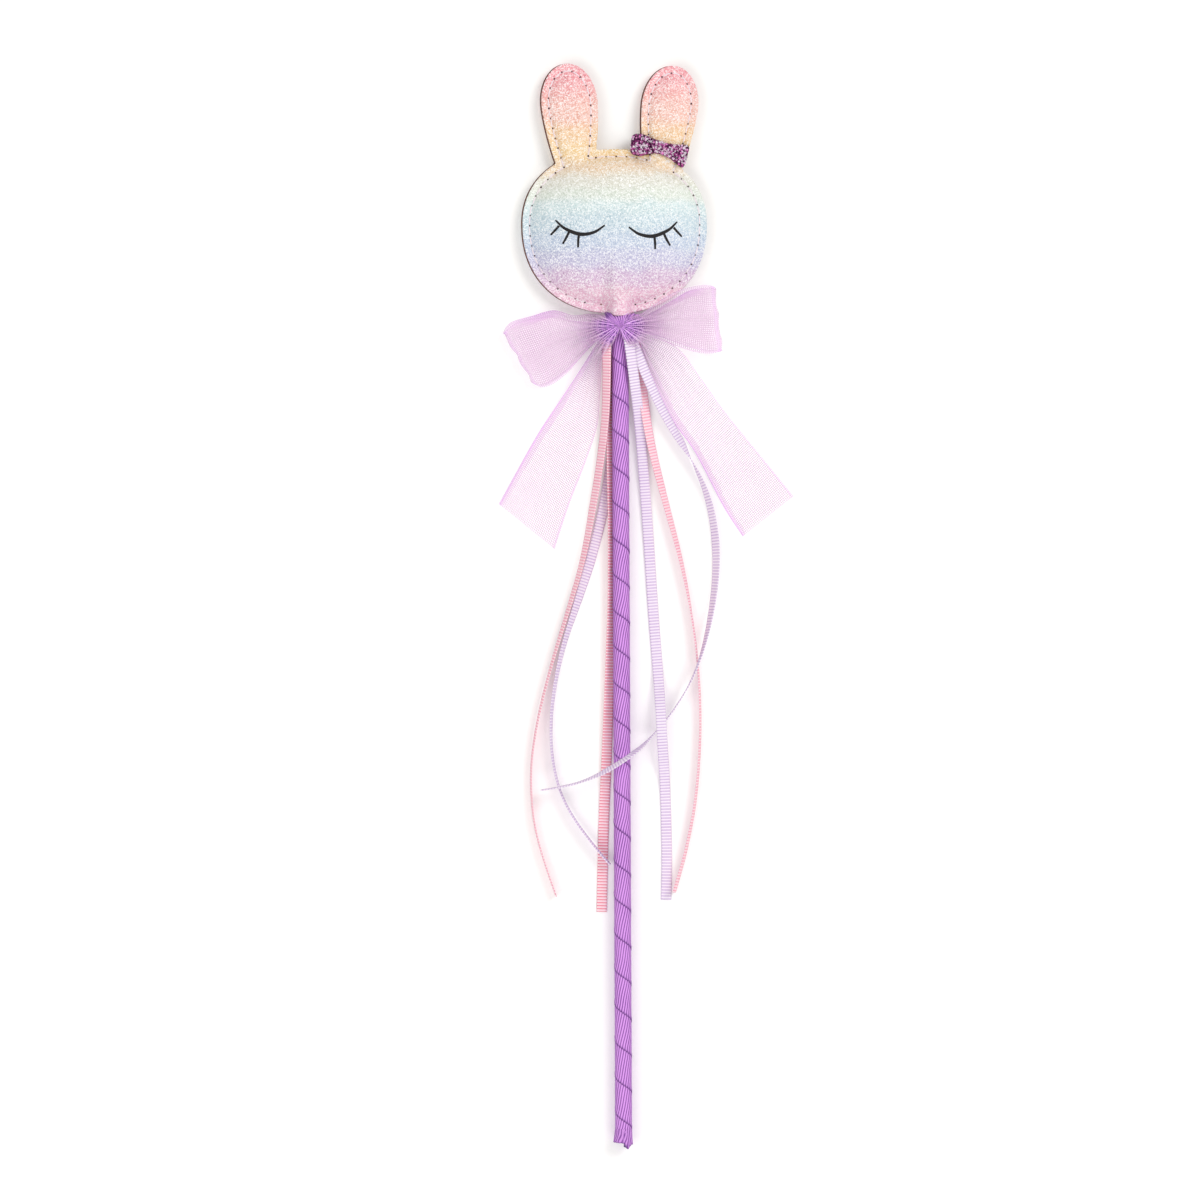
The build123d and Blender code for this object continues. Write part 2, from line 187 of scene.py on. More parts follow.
def grosgrain_material(name, light, dark, shade, edge, sheen):
    """Corded ribbon: UV is millimetres across and along.  The cords' crests are painted light and their gaps
    painted dark, mixed with random fibre and cloud mottling in the ribbon's own tone.  The 'seam' attribute
    paints shade along a lap, where one turn's edge lies on the next.  edge is how much shade is painted where
    the surface turns away from view, and shade is the colour of both painted shades."""
    s = Shader(name)
    uv = s.node("UVMap", {"uv_map": "ribbon"}).outputs[0]
    split = s.node("SeparateXYZ", Vector=uv)
    along = s.math("MULTIPLY", split.outputs[1], 2 * math.pi / RIB_PITCH)
    # rib: each cord's crest painted light and the gap between cords painted dark, light and shade on the
    # relief
    rib = s.math("MULTIPLY_ADD", s.math("COSINE", along), 0.5, 0.5)
    threads = s.math("SINE", s.math("MULTIPLY", split.outputs[0], 2 * math.pi / 0.22))
    fibre = s.noise(uv, 3.0, 4.0, 0.6)
    cloud = s.noise(uv, 0.12, 2.0)
    tone = s.math("MULTIPLY_ADD", rib, 0.7, s.math("MULTIPLY", fibre, 0.3))
    tone = s.math("MULTIPLY_ADD", cloud, 0.25, tone)
    base = s.mix(s.ramp(tone, [(0.2, 0.0), (0.78, 1.0)]), dark, light)
    seam = s.node("Attribute", {"attribute_name": "seam"}).outputs["Fac"]
    # painted shade along the lap, where one turn's edge lies on the next
    base = s.mix(s.math("MULTIPLY", seam, 0.75), base, shade)
    # painted shade where the surface turns away from view
    away = s.math("POWER", s.node("LayerWeight", Blend=0.5).outputs["Facing"], 1.6)
    base = s.mix(s.math("MULTIPLY", away, edge), base, shade)
    height = s.math("MULTIPLY_ADD", threads, 0.25, s.math("MULTIPLY", fibre, 0.6))
    rough = s.math("MULTIPLY_ADD", fibre, 0.2, 0.42)
    return s.finish(
        Base_Color=base,
        Roughness=rough,
        Specular_IOR_Level=0.25,
        Sheen_Weight=sheen,
        Sheen_Roughness=0.4,
        Normal=s.bump(height, 0.03 * MM, 0.7),
    )


def organza_material(name, pale, deep, cover):
    """Sheer cloth woven of fine bright threads: UV is millimetres across and along.  The 'dense' attribute is
    how much cloth lies together there; 'crease' paints shade into the folds, and below 0 paints highlight on
    their tops."""
    s = Shader(name)
    uv = s.node("UVMap", {"uv_map": "ribbon"}).outputs[0]
    split = s.node("SeparateXYZ", Vector=uv)
    wander = s.math("MULTIPLY", s.noise(uv, 0.8, 2.0), 0.5)
    lines = []
    for axis, pitch in ((0, 0.74), (1, 0.66)):
        turn = s.math("MULTIPLY_ADD", split.outputs[axis], 2 * math.pi / pitch, wander)
        lines.append(s.math("MULTIPLY_ADD", s.math("COSINE", turn), 0.5, 0.5))
    weave = s.math("MAXIMUM", lines[0], lines[1])
    hole = s.math("POWER", weave, 1.6)
    slub = s.noise(s.node("Mapping", Vector=uv, Scale=(0.35, 6.0, 1.0)).outputs[0], 1.0, 3.0)
    patch = s.noise(uv, 0.1, 3.0)
    rim = s.node("Attribute", {"attribute_name": "dense"}).outputs["Fac"]
    cloth = s.math("MULTIPLY_ADD", hole, 0.85, 0.2)
    cloth = s.math("MULTIPLY", cloth, s.math("MULTIPLY_ADD", slub, 0.5, 0.75))
    cloth = s.math("MULTIPLY", cloth, s.math("MULTIPLY_ADD", patch, 0.4, 0.8))
    alpha = s.math("MULTIPLY_ADD", rim, 0.5, s.math("MULTIPLY", cloth, cover))
    shine = s.math("MULTIPLY_ADD", hole, 0.6, s.math("MULTIPLY", slub, 0.4))
    gathered = s.math("MINIMUM", s.math("MULTIPLY", rim, 0.8), 1.0)
    shade = s.mix(gathered, s.mix(shine, pale[0], pale[1]), s.mix(shine, deep[0], deep[1]))
    crease = s.node("Attribute", {"attribute_name": "crease"}).outputs["Fac"]
    # painted shade in the fold valleys, where crease is above 0
    shade = s.mix(s.math("MULTIPLY", s.math("MAXIMUM", crease, 0.0), 0.9), shade, deep[2])
    # painted highlight on the fold tops, where crease is below 0
    shade = s.mix(s.math("MAXIMUM", s.math("MULTIPLY", crease, -0.8), 0.0), shade, deep[3])
    return s.finish(
        Base_Color=shade,
        Roughness=0.45,
        Sheen_Weight=0.2,
        Sheen_Roughness=0.3,
        Specular_IOR_Level=0.35,
        Alpha=s.math("MINIMUM", alpha, 0.97),
        Normal=s.bump(weave, 0.05 * MM, 0.6),
    )


GLITTER_SCALE, CHUNKY_SCALE = 3200.0, 1500.0  # flakes to the metre


def glitter_material(name, bands):
    """Fine glitter on soft sheet: pastel bands up the head, each flake tilted its own way, with painted
    glints on some flakes and painted shade dulling the rest.
    """
    s = Shader(name)
    place = s.node("TexCoord").outputs["Object"]
    height = s.node("SeparateXYZ", Vector=place).outputs[1]
    drift = s.math("MULTIPLY", s.noise(place, 90.0, 2.0), 5 * MM)
    low, high = panel_low[1] * MM, panel_high[1] * MM
    share = s.math("DIVIDE", s.math("SUBTRACT", s.math("ADD", height, drift), low), high - low)
    base = s.ramp(share, bands, smooth=True)
    flakes = s.node("TexVoronoi", Vector=place, Scale=GLITTER_SCALE)
    chance = s.node("SeparateColor", Color=flakes.outputs["Color"])
    # painted glints: a share of the flakes whitened; the rest dulled towards grey-purple as painted shade of
    # flakes that catch no light
    spark = s.ramp(chance.outputs[0], [(0.0, 0.0), (0.3, 0.15), (0.62, 0.45), (0.92, 1.0)])
    dull = s.mix(0.16, s.node("Gamma", Color=base, Gamma=1.45).outputs[0], colour(120, 104, 130))
    bright = s.mix(0.75, base, colour(255, 255, 255))
    tint = s.mix(spark, dull, bright)
    tilt = s.node("VectorMath", {"operation": "SUBTRACT"})
    s.put(tilt.inputs[0], flakes.outputs["Color"])
    tilt.inputs[1].default_value = (0.5, 0.5, 0.5)
    small = s.node("VectorMath", {"operation": "SCALE"})
    s.put(small.inputs[0], tilt.outputs[0])
    small.inputs[3].default_value = 0.75
    facing = s.node("VectorMath", {"operation": "ADD"})
    s.put(facing.inputs[0], s.node("NewGeometry").outputs["Normal"])
    s.put(facing.inputs[1], small.outputs[0])
    facet = s.node("VectorMath", {"operation": "NORMALIZE"})
    s.put(facet.inputs[0], facing.outputs[0])
    rough = s.math("MULTIPLY_ADD", chance.outputs[1], 0.35, 0.22)
    return s.finish(
        Base_Color=tint,
        Roughness=rough,
        Specular_IOR_Level=0.6,
        Normal=facet.outputs[0],
    )


def flake_material(name, shades, metal):
    """Chunky glitter: each flake's own shade comes from its 'flake' attribute and its place; the palest
    shades are painted glints and the darkest painted shade.
    """
    s = Shader(name)
    place = s.node("TexCoord").outputs["Object"]
    cell = s.node("TexVoronoi", Vector=place, Scale=CHUNKY_SCALE)
    own = s.node("Attribute", {"attribute_name": "flake"}).outputs["Fac"]
    ground = s.math("MULTIPLY", s.node("SeparateColor", Color=cell.outputs["Color"]).outputs[0], 0.5)
    pick = s.math("MAXIMUM", own, ground)
    edge = s.math("MULTIPLY", cell.outputs["Distance"], 900.0)
    return s.finish(
        Base_Color=s.ramp(pick, shades),
        Roughness=s.math("MULTIPLY_ADD", pick, 0.25, 0.16),
        Metallic=metal,
        Normal=s.bump(edge, 0.08 * MM, 0.5),
    )


def plain_material(name, light, dark, scale, rough, bump_mm, sheen=0.0):
    """Leather back, thread, wood, glue, fibre: mottled colour, grain and bump."""
    s = Shader(name)
    place = s.node("TexCoord").outputs["Object"]
    grain = s.noise(place, scale, 5.0, 0.6)
    fine = s.noise(place, scale * 6, 3.0)
    base = s.mix(s.ramp(grain, [(0.3, 0.0), (0.7, 1.0)]), dark, light)
    return s.finish(
        Base_Color=base,
        Roughness=s.math("MULTIPLY_ADD", fine, 0.25, rough - 0.12),
        Sheen_Weight=sheen,
        Normal=s.bump(s.math("ADD", grain, fine), bump_mm * MM, 0.6),
    )


def stops(*rows):
    """Places and colours of a ramp."""
    return [(place, colour(*shade)) for place, *shade in rows]


HEAD_BANDS = stops(
    (0.03, 250, 202, 224), (0.10, 246, 204, 222), (0.17, 228, 198, 226), (0.24, 210, 208, 234),
    (0.31, 206, 220, 238), (0.39, 210, 230, 238), (0.45, 224, 242, 242), (0.50, 236, 244, 232),
    (0.56, 241, 240, 226), (0.62, 252, 226, 188), (0.68, 255, 224, 160), (0.75, 255, 218, 166),
    (0.82, 255, 206, 188), (1.00, 255, 172, 180),
)
# the palest and white flakes are painted glints, the darkest painted shade of flakes that catch no light; the
# magenta between is the glitter's own colour
FLAKE_SHADES = stops(
    (0.00, 62, 4, 52), (0.30, 88, 12, 76), (0.42, 176, 66, 146), (0.55, 252, 134, 216),
    (0.68, 255, 204, 248), (1.00, 255, 255, 255),
)
ORGANZA_PALE = colour(214, 160, 212), colour(245, 214, 240)
# deep: gathered cloth and its lighter threads, then the colour of the painted shade in fold valleys and of
# the painted highlight on fold tops
ORGANZA_DEEP = colour(200, 124, 234), colour(250, 194, 255), colour(88, 28, 132), colour(255, 236, 255)

MATERIALS = {
    name: make(name, *settings)
    for name, make, *settings in (
        ("glitter_sheet", glitter_material, HEAD_BANDS),
        # light, dark, scale of the grain, roughness, bump in mm, sheen
        ("brown_backing", plain_material, colour(146, 98, 84), colour(92, 56, 50), 1800.0, 0.8, 0.12, 0.2),
        (
            "white_thread", plain_material,
            colour(255, 250, 252), colour(236, 214, 226), 5200.0, 0.6, 0.08, 0.3,
        ),
        # needle_hole: the dark disc at each stitch hole is painted shade of the hole
        ("needle_hole", plain_material, colour(92, 54, 66), colour(50, 24, 34), 3000.0, 0.9, 0.05),
        ("black_print", plain_material, colour(24, 16, 20), colour(8, 5, 7), 2600.0, 0.75, 0.05),
        ("birch", plain_material, colour(222, 192, 148), colour(186, 150, 106), 700.0, 0.6, 0.1),
        ("hot_melt", plain_material, colour(236, 226, 196), colour(214, 198, 158), 260.0, 0.35, 0.2),
        ("fibre_filling", plain_material, colour(250, 250, 248), colour(226, 226, 224), 900.0, 0.9, 0.5, 0.6),
        ("chunky_glitter", flake_material, FLAKE_SHADES, 0.2),
        # light and dark: the cords' painted light and shade; shade: the painted shade's colour; how much
        # shade is painted where it turns away; sheen
        (
            "purple_grosgrain", grosgrain_material,
            colour(226, 160, 242), colour(108, 42, 144), colour(82, 26, 116), 0.75, 0.05,
        ),
        (
            "pink_grosgrain", grosgrain_material,
            colour(255, 224, 231), colour(243, 150, 176), colour(216, 110, 142), 0.3, 0.2,
        ),
        (
            "rose_grosgrain", grosgrain_material,
            colour(255, 226, 232), colour(238, 112, 138), colour(206, 84, 116), 0.3, 0.2,
        ),
        (
            "lilac_grosgrain", grosgrain_material,
            colour(245, 234, 247), colour(202, 174, 217), colour(160, 128, 186), 0.3, 0.2,
        ),
        ("lilac_organza", organza_material, ORGANZA_PALE, ORGANZA_DEEP, 0.4),
    )
}


# ---- meshes -------------------------------------------------------------------------------------


def piece(name, points, faces, materials, body="wand", kinds=None, uv=None, closed=True):
    """A mesh from points in millimetres, in place of the CAD node of its name.  kinds is each face's
    material, uv each point's pair.  Without a body it is left unattached."""
    data = bpy.data.meshes.new(name)
    data.from_pydata((np.asarray(points) * MM).tolist(), [], [list(map(int, f)) for f in faces])
    for slot in materials:
        data.materials.append(MATERIALS[slot])
    if kinds is not None:
        data.polygons.foreach_set("material_index", np.asarray(kinds, np.int32))
    if uv is not None:
        layer = data.uv_layers.new(name="ribbon")
        corners = np.zeros(len(data.loops), np.int32)
        data.loops.foreach_get("vertex_index", corners)
        layer.data.foreach_set("uv", np.asarray(uv, np.float32)[corners].ravel())
    data.polygons.foreach_set("use_smooth", np.ones(len(data.polygons), bool))
    if closed:
        work = bmesh.new()
        work.from_mesh(data)
        bmesh.ops.recalc_face_normals(work, faces=work.faces)
        work.to_mesh(data)
        work.free()
    made = add_object(name, data)
    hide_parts(name)
    if body:
        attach(made, body)
    return made


def set_attribute(made, name, values):
    layer = made.data.attributes.new(name, "FLOAT", "POINT")
    layer.data.foreach_set("value", np.asarray(values, np.float32))


def grid_faces(rows, columns, closed=False, start=0):
    """Quads between the points of a grid, numbered row by row."""
    i = np.arange(rows - 1)[:, None]
    j = np.arange(columns if closed else columns - 1)[None, :]
    ahead, beside = i + 1, (j + 1) % columns
    quads = np.stack(
        [i * columns + j, i * columns + beside, ahead * columns + beside, ahead * columns + j], -1
    )
    return (quads.reshape(-1, 4) + start).tolist()


def ring_faces(rows, columns, start=0):
    """The same, with each row closed to a ring."""
    return grid_faces(rows, columns, True, start)


def end_caps(rows, columns, turned=False):
    """The two faces that close a round grid's ends."""
    first, last = list(range(columns)), [(rows - 1) * columns + k for k in range(columns)]
    return [first, last[::-1]] if turned else [first[::-1], last]


def two_layers(quads):
    """Which points some faces use, the faces of a slab over them, and how many are top, underside
    and edge.  The slab's points are the used ones twice: first the top, then the underside."""
    edges = {(a, b): 0 for face in quads for a, b in zip(face, face[1:] + face[:1])}
    rim = [(a, b) for a, b in edges if (b, a) not in edges]
    used = np.unique(np.concatenate([np.ravel(q) for q in quads]))
    slot = {c: k for k, c in enumerate(used)}
    n = len(used)
    top = [[slot[c] for c in q] for q in quads]
    under = [[c + n for c in q][::-1] for q in top]
    sides = [[slot[b], slot[a], slot[a] + n, slot[b] + n] for a, b in rim]
    return used, rim, top + under + sides, (len(top), len(under), len(sides))


def smooth_step(value, low, high):
    share = np.clip((value - low) / (high - low), 0, 1)
    return share * share * (3 - 2 * share)


def hill(value, width):
    """1 where value is 0, falling away to both sides."""
    return np.exp(-((value / width) ** 2))


def stacked(*parts):
    """Arrays of different shapes as the last axis of one."""
    return np.stack(np.broadcast_arrays(*parts), -1)


def smooth_max(first, second, soft):
    """The larger of two heights, with a soft join."""
    share = np.clip(0.5 + (first - second) / (2 * soft), 0, 1)
    return second + (first - second) * share + soft * share * (1 - share)


def ripples(x, y, size, seed):
    """A gentle, repeatable unevenness between about -1 and 1."""
    total = 0
    for k in range(5):
        turn = seed * 1.7 + k * 2.399
        wave = (x * math.cos(turn) + y * math.sin(turn)) / (size * (0.6 + 0.25 * k))
        total = total + np.sin(2 * math.pi * wave + seed + k * 1.3)
    return total / 3


def curve_through(points, count):
    """A smooth line through a few points, with evenly spaced samples."""
    points = np.asarray(points, float)
    padded = np.vstack([2 * points[0] - points[1], points, 2 * points[-1] - points[-2]])
    spans = len(points) - 1
    place = np.linspace(0, spans, spans * 24 + 1)
    index = np.minimum(place.astype(int), spans - 1)
    t = (place - index)[:, None]
    a, b, c, d = (padded[index + k] for k in range(4))
    line = 0.5 * (2 * b + (c - a) * t + (2 * a - 5 * b + 4 * c - d) * t**2 + (3 * b - a - 3 * c + d) * t**3)
    return resample(line, count)


def resample(line, count):
    """The same line with evenly spaced points."""
    run = np.concatenate([[0], np.cumsum(np.linalg.norm(np.diff(line, axis=0), axis=1))])
    even = np.linspace(0, run[-1], count)
    return np.stack([np.interp(even, run, line[:, k]) for k in range(line.shape[1])], 1)


def run_length(line):
    return float(np.linalg.norm(np.diff(line, axis=0), axis=1).sum())


def unit(vectors):
    return vectors / np.maximum(np.linalg.norm(vectors, axis=-1, keepdims=True), 1e-12)


def directions(line):
    """Across a line and level, and square to both, at each of its points."""
    ahead = unit(np.gradient(line, axis=0))
    level = unit(np.cross(ahead, [0, 0, 1.0]))
    return level, np.cross(level, ahead)


def strip(centre, across, normal, half_width, top, thickness, spacing):
    """A closed flat band.  half_width is per station, top the height over the middle plane per
    station and column.  Returns points, faces and UV in millimetres across and along."""
    stations, columns = top.shape
    spread = np.linspace(-1, 1, columns)
    side = half_width[:, None] * spread[None, :]
    upper = centre[:, None] + across[:, None] * side[..., None] + normal[:, None] * top[..., None]
    under = upper - normal[:, None] * (top + thickness / 2)[..., None]
    ring = np.concatenate([upper, under[:, ::-1]], 1)
    along = np.arange(stations) * spacing
    flat = np.concatenate([side, side[:, ::-1]], 1)
    uv = np.stack([flat, np.broadcast_to(along[:, None], flat.shape)], -1)
    faces = ring_faces(stations, 2 * columns)
    for row, turn in ((0, 1), (stations - 1, -1)):
        first = row * 2 * columns
        for k in range(columns - 1):
            quad = [first + k, first + k + 1, first + 2 * columns - 2 - k, first + 2 * columns - 1 - k]
            faces.append(quad[::turn])
    return ring.reshape(-1, 3), faces, uv.reshape(-1, 2)


# ---- camera, light and floor --------------------------------------------------------------------

VIEW_HEIGHT = 1.2
LENS = 108.0  # a 36 mm sensor then takes in 0.4 m
STICK_LEAN = -0.00432  # the wand lies a quarter of a degree off the picture's upright
PICTURE_MIDDLE = (-0.0155, 0.0020)

camera_data = bpy.data.cameras.new("camera")
camera_data.lens = LENS
camera_data.sensor_width = 36.0
camera_data.clip_start = 0.01
camera = add_object("camera", camera_data)
camera.location = (*PICTURE_MIDDLE, VIEW_HEIGHT + 0.004)
camera.rotation_euler = (0.0, 0.0, STICK_LEAN)
bpy.context.scene.camera = camera
bpy.context.scene.view_settings.view_transform = "Standard"


def softbox(name, place, aim, size, watts, tint=(1, 1, 1)):
    light = bpy.data.lights.new(name, "AREA")
    light.shape = "DISK"
    light.size = size
    light.energy = watts
    light.color = tint
    made = add_object(name, light)
    made.location = place
    made.rotation_euler = (Vector(aim) - Vector(place)).to_track_quat("-Z", "Y").to_euler()


softbox("key", (0.62, 0.52, 0.80), (0, 0.05, 0), 0.6, 4.9, (1.0, 0.99, 0.975))
softbox("fill", (-0.70, -0.35, 0.90), (0, 0, 0), 0.9, 3.2, (1.0, 0.995, 0.985))
softbox("rim", (0.10, -0.85, 0.55), (0, 0, 0), 0.6, 1.8)

world = bpy.data.worlds.new("room")
bpy.context.scene.world = world
world.use_nodes = True
world.node_tree.nodes["Background"].inputs[0].default_value = (1.0, 0.995, 0.985, 1)
world.node_tree.nodes["Background"].inputs[1].default_value = 0.61

floor_shader = Shader("pale_floor")
floor_place = floor_shader.node("TexCoord").outputs["Object"]
floor_tone = floor_shader.noise(floor_place, 14.0, 3.0)
floor_shader.finish(
    Base_Color=floor_shader.mix(floor_tone, colour(247, 246, 245), colour(251, 251, 250)),
    Roughness=0.9,
    Specular_IOR_Level=0.1,
    Emission_Color=colour(255, 252, 250),
    Emission_Strength=0.1,
)
floor_data = bpy.data.meshes.new("floor")
FLOOR = 3.0
floor_data.from_pydata(
    [(-FLOOR, -FLOOR, 0), (FLOOR, -FLOOR, 0), (FLOOR, FLOOR, 0), (-FLOOR, FLOOR, 0)], [], [(0, 1, 2, 3)]
)
floor_data.materials.append(floor_shader.material)
floor = add_object("floor", floor_data)


# ---- streamers ----------------------------------------------------------------------------------

STREAMER_WIDTH, STREAMER_T = 3.5, 0.3
RIB_HEIGHT, PICOT = 0.09, 0.12
STATION = RIB_PITCH / 4


def route_line(name, route):
    """The points, in millimetres, of a smooth NURBS line with the route as its control points."""
    curve = bpy.data.curves.new(name, "CURVE")
    curve.dimensions = "3D"
    curve.resolution_u = 24
    line = curve.splines.new("NURBS")
    line.points.add(len(route) - 1)
    for point, place in zip(line.points, route):
        point.co = (*(part * MM for part in place), 1.0)
    line.order_u = 3
    line.use_endpoint_u = True
    holder = add_object(name, curve)
    mesh = bpy.data.meshes.new_from_object(holder)
    places = np.array([v.co for v in mesh.vertices]) / MM
    bpy.data.objects.remove(holder)
    bpy.data.meshes.remove(mesh)
    return places


def streamer(name, route, material, body, rolls, rise):
    """One narrow corded ribbon.  rolls are (share of the length, degrees by which it turns on edge,
    millimetres it leans to the right); its lower edge follows the route.  rise is how far it goes
    on under the knot's pleats."""
    line = route_line(name + "_route", route)
    if rise:
        line = np.vstack([line[0] + unit(line[0] - line[1]) * rise, line])
    count = int(run_length(line) / STATION)
    line = resample(line, count)
    share = np.linspace(0, 1, count)
    places, turns, leans = zip(*rolls)
    roll = np.radians(np.interp(share, places, turns))
    line[:, 0] += np.interp(share, places, leans)
    level, above = directions(line)
    width = STREAMER_WIDTH / 2
    standing = width * np.abs(np.sin(roll))
    line = line + np.column_stack([0 * share, 0 * share, standing])
    across = level * np.cos(roll)[:, None] + above * np.sin(roll)[:, None]
    normal = above * np.cos(roll)[:, None] - level * np.sin(roll)[:, None]
    ribs = np.cos(2 * math.pi * np.arange(count) * STATION / RIB_PITCH)
    top = STREAMER_T / 2 + np.outer(ribs, [0.0, 0.8, 1, 1, 1, 0.8, 0.0]) * RIB_HEIGHT / 2
    half = width + PICOT / 2 * ribs
    points, faces, uv = strip(line, across, normal, half, top, STREAMER_T, STATION)
    blends = body != "wand"
    made = piece(name, points, faces, [material], None if blends else body, uv=uv)
    if blends:
        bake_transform(made)


# name, material, body, how far each goes on under the pleats, its route, and its rolls
STREAMERS = [
    (
        "lilac_streamer_inner_left", "lilac_grosgrain", "wand", 0.0,
        [
            (-8.8, 84.6, 0.25), (-10.2, 64.5, 0.25), (-11.9, 43, 0.25), (-16.4, 22, 0.25),
            (-22.2, 2.5, 0.25), (-28.6, -17, 0.25), (-32, -38, 0.25), (-30.4, -58, 0.25),
            (-23, -73.5, 1), (-12.1, -86.3, 1),
        ],
        [
            (0, 0, 0), (0.22, 8, 0), (0.4, 25, -0.2), (0.52, 62, -0.5), (0.62, 74, -0.5),
            (0.75, 80, -0.6), (0.9, 83, -0.6), (1, 83, -0.4),
        ],
    ),
    (
        "pink_streamer_under_stick", "rose_grosgrain", "wand", 0.0,
        [
            (-12.6, 84.6, 0.8), (-11.9, 48, 0.8), (-12, 8, 0.8), (-12.9, -20, 0.25), (-14, -50, 0.25),
            (-14.9, -70, 0.25), (-15.2, -90, 0.25), (-15.4, -102.2, 0.25),
        ],
        [
            (0, 40, 0), (0.3, 50, 0.4), (0.45, 46, 0.6), (0.62, 28, 0.6), (0.75, 12, 0.5),
            (0.85, 0, 0.3), (1, 0, 0),
        ],
    ),
    (
        "pink_streamer_outer_left", "pink_grosgrain", "left_streamer", 4.0,
        [
            (-13.4, 85, 4.6), (-13.5, 68, 2.1), (-15.3, 50, 1.5), (-19.9, 22, 1), (-26, 0.5, 1),
            (-32.7, -21.6, 1), (-37, -42, 0.7), (-38.4, -60, 0.25), (-36.2, -79, 0.25),
            (-29.8, -96.9, 0.25),
        ],
        [
            (0, -25, 0.3), (0.06, -42, 0.5), (0.12, -46, 0.6), (0.22, -48, 0.5), (0.3, -52, 0.3),
            (0.42, -66, 0.6), (0.6, -78, 0.1), (0.75, -82, -0.8), (0.9, -83, -0.9), (1, -83, -0.7),
        ],
    ),
    (
        "pink_streamer_right", "pink_grosgrain", "front_streamers", 3.5,
        [
            (-2.9, 84.6, 3.4), (-1, 72, 1.9), (1.2, 55.6, 0.3), (5.8, 37.1, 0.25), (13.1, 10, 0.25),
            (17.3, -18, 0.25), (17.9, -46, 0.25), (15.4, -73, 0.25), (10.2, -95.8, 0.25),
        ],
        [
            (0, 10, 0), (0.12, 32, 0), (0.25, 50, 0), (0.38, 68, 0), (0.5, 83, 0), (0.7, 81, 0.2),
            (0.86, 77, 0), (0.93, 75, -0.4), (1, 72, -1.4),
        ],
    ),
    (
        "lilac_streamer_crossing", "lilac_grosgrain", "front_streamers", 3.5,
        [
            (-2.9, 84.6, 5.4), (0.6, 75.5, 4.3), (7, 62.3, 1.5), (15, 49.5, 0.6), (21.4, 35.2, 0.4),
            (23.9, 17, 0.5), (21.9, -2.5, 1), (17, -21.3, 4.8), (9, -35.2, 0.8), (0.8, -44.6, 0.7),
            (-4.8, -49.2, 7.8), (-12.6, -54.2, 7.8), (-18.6, -57.2, 6.6), (-26.6, -59.9, 5),
            (-35.4, -61.2, 4.2),
        ],
        [
            (0, 15, 0), (0.14, 34, 0), (0.2, 50, 0), (0.232, 86, 0), (0.262, 104, 0), (0.31, 122, 0),
            (0.39, 132, 0), (0.46, 124, 0), (0.54, 112, 0), (0.6, 99, 0), (0.66, 91, 0), (0.76, 92, 0),
            (0.81, 109, 0), (0.87, 112, 0), (0.92, 97, 0), (1, 91, 0),
        ],
    ),
    (
        "lilac_streamer_straight", "lilac_grosgrain", "front_streamers", 4.0,
        [
            (-5, 84.6, 6.9), (-4, 77, 6.4), (-2.2, 63, 1.8), (-0.9, 47, 1.1), (0.6, 26, 0.4),
            (2.3, -3, 0.25), (3.9, -24, 0.25), (4.5, -34, 4.6), (5.1, -46.5, 4.6), (5.9, -58, 0.25),
            (6.3, -72, 0.25), (6.5, -85.4, 0.25), (6.2, -98.3, 0.25),
        ],
        [
            (0, 20, 0), (0.05, 18, 0), (0.14, 0, 0), (1, 0, 0),
        ],
    ),
]
for name, material, body, rise, route, rolls in STREAMERS:
    streamer(name, route, material, body, rolls, rise)


# ---- head ---------------------------------------------------------------------------------------


def egg_reach(x, y):
    """0 at the middle of the face, 1 on the egg's outline."""
    drop = np.where(y > HEAD_Y, HEAD_RISE, HEAD_DROP)
    return (
        (np.abs(x - HEAD_X) / HEAD_HALF_WIDTH) ** SQUARENESS + (np.abs(y - HEAD_Y) / drop) ** SQUARENESS
    ) ** (1 / SQUARENESS)


def ear_reach(place, x, y):
    """0 on the ear's middle line, 1 on its outline, and the distance up from its base."""
    turn = math.radians(place[2])
    dx, dy = x - place[0], y - place[1]
    across = dx * math.cos(turn) + dy * math.sin(turn)
    up = dy * math.cos(turn) - dx * math.sin(turn)
    short = np.clip((EAR_WIDE_AT - up) / EAR_WIDE_AT, 0, 1.4)
    half = EAR_HALF_WIDTH - EAR_NARROWING * short**1.6
    beyond = np.maximum(up - EAR_WIDE_AT, 0) / EAR_TIP
    reach = np.hypot(across / half, beyond)
    return np.where(up < -EAR_ROOT, 9.0, reach), up


def inside_head(x, y):
    reach = egg_reach(x, y)
    for place in (LEFT_EAR, RIGHT_EAR):
        reach = np.minimum(reach, ear_reach(place, x, y)[0])
    return reach < 1


def egg_line(inset):
    angle = np.radians(np.linspace(-90, 270, 1440, endpoint=False))
    across, along = np.cos(angle), np.sin(angle)
    reach = np.where(along > 0, HEAD_RISE, HEAD_DROP) - inset
    power = 2 / SQUARENESS
    return np.stack(
        [
            HEAD_X + (HEAD_HALF_WIDTH - inset) * np.sign(across) * np.abs(across) ** power,
            HEAD_Y + reach * np.sign(along) * np.abs(along) ** power,
        ],
        1,
    )


